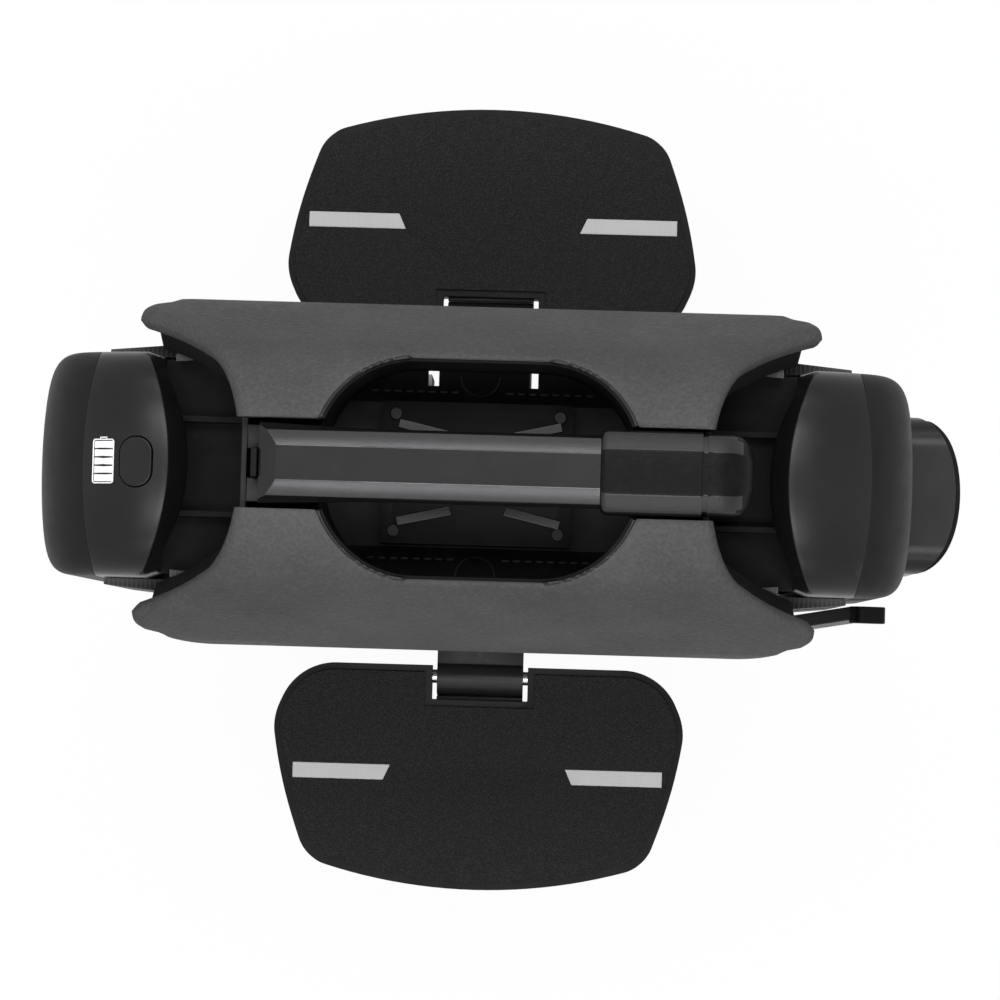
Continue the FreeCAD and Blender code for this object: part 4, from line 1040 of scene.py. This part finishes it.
def build_lamp():
    for name in lamp_nodes:
        piece = refined(name)
        for vertex in piece.data.vertices:
            vertex.co = lamp_point(vertex.co)
        if name == "headlight_lens":
            piece.data.materials.append(materials["black_plastic"])
            for face in piece.data.polygons:
                face.material_index = 1 if face.normal.x < rim_slant else 0


# Pedals, with their straight sides bowed out

pedal_nodes = ("pedal_plate_left", "pedal_plate_right", "pedal_grip_left", "pedal_grip_right")
bulge = 4.6
bulge_from = 148.0
bulge_to = 262.0
bulge_edge = (90.0, 120.0)
bulge_cuts = 8
bulge_edge_length = 40.0


def pedal_point(place):
    x, y, z = place / mm
    along = min(max((abs(y) - bulge_from) / (bulge_to - bulge_from), 0.0), 1.0)
    share = min(max((abs(x) - bulge_edge[0]) / (bulge_edge[1] - bulge_edge[0]), 0.0), 1.0)
    return mm * Vector((x + math.copysign(bulge * share * math.sin(math.pi * along), x), y, z))


def build_pedals():
    for name in pedal_nodes:
        piece = refined(name)
        shape = bmesh.new()
        shape.from_mesh(piece.data)
        long_edges = [edge for edge in shape.edges if edge.calc_length() > mm * bulge_edge_length]
        bmesh.ops.subdivide_edges(shape, edges=long_edges, cuts=bulge_cuts)
        for vertex in shape.verts:
            vertex.co = pedal_point(vertex.co)
        shape.to_mesh(piece.data)
        shape.free()
        if slot_of[name] == "alloy_black":
            paint(piece, "pedal_black")


# Lip that closes the slot between a pedal and its hinge

hinge_lips = (((-31.0, 143.0, 151.0), (31.0, 146.5, 168.0)), ((-31.0, 139.5, 146.0), (31.0, 146.5, 152.0)))


def build_hinge_lips():
    for side, body in ((1, "left_pedal"), (-1, "right_pedal")):
        bars = []
        for low, high in hinge_lips:
            ys = sorted((side * low[1], side * high[1]))
            bars.append(block("lip", (low[0], ys[0], low[2]), (high[0], ys[1], high[2]), 0.5))
        settle(join("hinge_lip_" + body, bars), body, "alloy_black")


# Tyre

tyre_outside = ((178.0, 27.7), (192.3, 27.7), (206.2, 38.0), (224.0, 26.0), (230.0, 0.0))
tyre_inside = ((178.0, 18.7), (192.3, 18.7), (206.2, 32.0), (218.0, 18.0), (222.0, 0.0))
tread_pitches = 48
tread_steps = 12
tread_depth = 3.4
tread_half = 34.0
tread_low_r = 209.0
tread_fade = 8.0
rib_edge = 0.13
sipe_slant = 0.6
sipe_width = 0.17
sipe_share = 0.55
inner_ring = 0.22
outer_ring = (0.62, 0.69)
block_slant = 0.7
shoulder_start = 0.45
shoulder_slant = 0.25
groove_width = 0.26
tyre_wall_steps = 18
tyre_crown_steps = 46
tyre_inside_steps = 8
tyre_sharp = 35.0


def flipped(points):
    return [(r, -y) for r, y in reversed(points)]


def tyre_section(places, wall_count, crown_count):
    # One skin of the tyre from bead to bead.
    bead, flange, belly, shoulder, crown = places
    wall = [bead] + arc(flange, belly, shoulder, wall_count)
    top = arc(shoulder, crown, (shoulder[0], -shoulder[1]), crown_count)
    return wall[:-1] + top + flipped(wall)[1:]


def tread_cut(turn, r, y):
    # Depth of the tread's grooves at a place on the tyre.
    across = abs(y) / tread_half
    if r < tread_low_r or across > 1.0:
        return 0.0
    fade = min((r - tread_low_r) / tread_fade, 1.0)
    pitch = tread_pitches * turn / math.tau
    side = 0.5 if y > 0.0 else 0.0
    if across < rib_edge:
        sipe = (pitch + sipe_slant * across) % 1.0
        return fade * (sipe_share * tread_depth if sipe < sipe_width else 0.0)
    if across < inner_ring or outer_ring[0] < across < outer_ring[1]:
        return fade * tread_depth
    lead = block_slant * across if across < outer_ring[0] else shoulder_start + shoulder_slant * across
    phase = (pitch + side + lead) % 1.0
    return fade * (tread_depth if phase < groove_width else 0.0)


def build_tyre():
    outer = tyre_section(tyre_outside, tyre_wall_steps, tyre_crown_steps)
    inner = tyre_section(tyre_inside, tyre_inside_steps, tyre_inside_steps)[::-1]
    axle_z = 0.5 * (node_box("axle")[0].z + node_box("axle")[1].z)
    around = tread_pitches * tread_steps
    verts = []
    for i in range(around):
        turn = math.tau * i / around
        for k, (r, y) in enumerate(outer + inner):
            depth = tread_cut(turn, r, y) if k < len(outer) else 0.0
            verts.append(((r - depth) * math.cos(turn), y, axle_z + (r - depth) * math.sin(turn)))
    faces = grid_faces(around, len(outer) + len(inner), close_rows=True, close_columns=True)
    settle(mesh_piece("tyre_tread", verts, faces, tyre_sharp), "wheel", "tyre", "tyre")


# Hand cavity: deck plates with windows and vents, and the bars on the lid

plate_inner = 46.2
plate_xs = range(-90, 96, 2)
plate_inset = 0.5
plate_lift = 0.1
plate_t = 1.6
plate_bevel = 0.0004
window_x = ((-33.2, -26.5), (31.6, 37.0))
window_y = (57.4, 66.9)
window_z = (-5.0, 9.0)
vent_rows = ((-67.0, -16.0), (19.2, 70.2))
vent_y = 53.5
vent_size = (4.4, 1.3, 0.9)
vent_count = 8
vent_bevel = 0.0003
sink = 0.1
brow_r = 12.5
brow_y = 64.0
brow_bar = 0.8
brow_steps = 24
lid_bars = (((-50.0, -31.0), (-16.0, -23.5)), ((18.0, -23.0), (53.0, -31.0)))
lid_bar_half = 2.8
lid_bar_h = 1.4


def plate_outline(side):
    reaches = [(float(x), cavity_reach(x, -plate_inset)) for x in plate_xs]
    edge = [(x, side * y) for x, y in reaches if y > plate_inner]
    return [(edge[0][0], side * plate_inner)] + edge + [(edge[-1][0], side * plate_inner)]


def deck_plate(side, name):
    plate = slab("deck_plate_" + name, plate_outline(side), deck + plate_lift, deck + plate_t)
    if side > 0:
        for x0, x1 in window_x:
            low = (x0, window_y[0], deck + window_z[0])
            high = (x1, window_y[1], deck + window_z[1])
            carve(plate, block("window_cut", low, high))
    add_bevel(plate, plate_bevel, 2)
    settle(plate, "shell", "black_plastic")


def deck_vents(side, name):
    length, width, height = vent_size
    top = deck + plate_t
    y = side * vent_y
    bars = []
    for x0, x1 in vent_rows:
        for i in range(vent_count):
            x = x0 + (x1 - x0) * i / (vent_count - 1)
            low = (x - length / 2.0, y - width / 2.0, top - sink)
            high = (x + length / 2.0, y + width / 2.0, top + height)
            bars.append(block("vent", low, high))
    vents = join("deck_vents_" + name, bars)
    add_bevel(vents, vent_bevel, 2)
    settle(vents, "shell", "satin_plastic")


def shock_outline(side, name):
    turns = [math.pi * i / brow_steps for i in range(brow_steps + 1)]
    line = [(brow_r * math.cos(t), side * (brow_y - brow_r * math.sin(t)), deck + plate_t) for t in turns]
    settle(tube("shock_outline_" + name, line, brow_bar), "shell", "satin_plastic")


def build_deck():
    for side, name in ((1, "left"), (-1, "right")):
        deck_plate(side, name)
        deck_vents(side, name)
        shock_outline(side, name)


def build_lid_bars():
    top = node_box("controller_lid")[1].z
    bars = []
    for side in (1, -1):
        for ends in lid_bars:
            start, stop = [Vector(end) for end in ends]
            along = (stop - start).normalized()
            aside = lid_bar_half * Vector((-along.y, along.x))
            corners = (start - aside, stop - aside, stop + aside, start + aside)
            bars.append(slab("bar", [(p.x, side * p.y) for p in corners], top - sink, top + lid_bar_h))
    piece = join("lid_bars", bars)
    add_bevel(piece, plate_bevel, 2)
    settle(piece, "shell", "handle_metal")


# Stage, light and camera

def build_stage():
    mesh = bpy.data.meshes.new("floor")
    reach = 9.0
    corners = [(-reach, -reach, 0), (reach, -reach, 0), (reach, reach, 0), (-reach, reach, 0)]
    mesh.from_pydata(corners, [], [(0, 1, 2, 3)])
    floor = new_object("floor", mesh)
    material, tree, shader = new_surface("floor_white")
    shader.inputs["Base Color"].default_value = (0.9, 0.9, 0.9, 1.0)
    shader.inputs["Roughness"].default_value = 0.9
    shader.inputs["Specular IOR Level"].default_value = 0.0
    glow = tree.nodes.new("ShaderNodeEmission")
    glow.inputs["Color"].default_value = (1.0, 1.0, 1.0, 1.0)
    blend = tree.nodes.new("ShaderNodeMixShader")
    tree.links.new(scaled(tree, seen_ray(tree), backdrop_share), blend.inputs["Fac"])
    tree.links.new(shader.outputs["BSDF"], blend.inputs[1])
    tree.links.new(glow.outputs["Emission"], blend.inputs[2])
    tree.links.new(blend.outputs["Shader"], tree.nodes["Material Output"].inputs["Surface"])
    mesh.materials.append(material)


def seen_ray(tree):
    # One for rays that show the background, straight or in a reflection or through glass.
    path = tree.nodes.new("ShaderNodeLightPath")
    seen = combine(tree, path.outputs["Is Camera Ray"], path.outputs["Is Glossy Ray"], "MAXIMUM")
    return combine(tree, seen, path.outputs["Is Transmission Ray"], "MAXIMUM")


def build_world():
    world = bpy.data.worlds.new("studio")
    bpy.context.scene.world = world
    world.use_nodes = True
    tree = world.node_tree
    back = tree.nodes["Background"]
    back.inputs["Color"].default_value = (1.0, 1.0, 1.0, 1.0)
    tree.links.new(span(tree, seen_ray(tree), world_light, 1.0, (0.0, 1.0)), back.inputs["Strength"])


def add_softbox(name, place, target, size, power):
    data = bpy.data.lights.new(name, "AREA")
    data.shape = "RECTANGLE"
    data.size = size[0]
    data.size_y = size[1]
    data.energy = power
    lamp = new_object(name, data)
    lamp.location = place
    lamp.rotation_euler = (Vector(target) - Vector(place)).to_track_quat("-Z", "Y").to_euler()
    lamp.visible_camera = False


def build_lights():
    middle = (0.0, 0.0, 0.5)
    for side in (-1, 1):
        add_softbox("side_box_%d" % side, (0.0, 1.3 * side, 3.6), middle, (3.0, 1.2), key_power)
        add_softbox("strip_box_%d" % side, (0.0, 2.6 * side, 2.3), middle, (3.0, 0.5), strip_power)
        add_softbox("end_box_%d" % side, (2.8 * side, 0.0, 1.9), middle, (1.6, 2.4), end_power)
    add_softbox("top_box", (0.0, 0.0, 4.4), middle, (2.6, 2.6), top_power)


def build_camera():
    data = bpy.data.cameras.new("photo_camera")
    data.sensor_width = sensor_width
    data.lens = sensor_width * focal_pixels / frame_pixels
    data.clip_end = camera_reach
    camera = new_object("photo_camera", data)
    right = Vector((math.cos(camera_roll), math.sin(camera_roll), 0.0))
    up = Vector((-math.sin(camera_roll), math.cos(camera_roll), 0.0))
    aside = (nadir_pixel[0] - frame_pixels / 2.0) / focal_pixels
    below = (nadir_pixel[1] - frame_pixels / 2.0) / focal_pixels
    ahead = (Vector((0.0, 0.0, -1.0)) - aside * right + below * up).normalized()
    right = (right - ahead * right.dot(ahead)).normalized()
    up = right.cross(ahead)
    turn = Matrix((right, up, -ahead)).transposed().to_4x4()
    camera.matrix_world = Matrix.Translation(camera_place) @ turn
    bpy.context.scene.camera = camera


# Nodes that keep their CAD shape: hidden ones are only painted, a few have another finish than their slot's

hidden_inside = {"magnet_ring", "stator_core", "stator_coils", "wheel_bearings", "controller_board",
                 "guide_bushes", "upper_shells", "battery_cases", "mast_sleeve", "mast_mid_tube",
                 "mast_inner_tube"}
repainted = {"body_screws": "alloy_black", "cavity_liner": "black_plastic", "side_stand": "alloy_black"}
own_nodes = {"knee_pad_left", "knee_pad_right", "rear_cover", "front_cover", "end_bands", "handle_bar",
             "rubber_grip", "tyre", *lamp_nodes, *pedal_nodes}


def dress_nodes(replaced):
    for name, obj in nodes.items():
        if name in replaced:
            continue
        if name in hidden_inside:
            paint(obj, slot_of[name])
        else:
            piece = refined(name)
            if name in repainted:
                paint(piece, repainted[name])


# The scene

bpy.context.scene.view_settings.view_transform = "Standard"
build_world()
build_stage()
build_lights()
build_camera()
dress_nodes(own_nodes)
knee_pad("pad_left", 1)
knee_pad("pad_right", -1)
for facing, end in ((1, "front"), (-1, "rear")):
    pad_end_wall("pad_backing_left_" + end, 1, facing)
    pad_end_wall("pad_backing_right_" + end, -1, facing)
cavity_trim("cavity_trim_left", 1)
cavity_trim("cavity_trim_right", -1)
build_ends()
build_rear_controls()
build_bar()
build_grip()
build_lamp()
build_pedals()
build_hinge_lips()
build_tyre()
build_deck()
build_lid_bars()
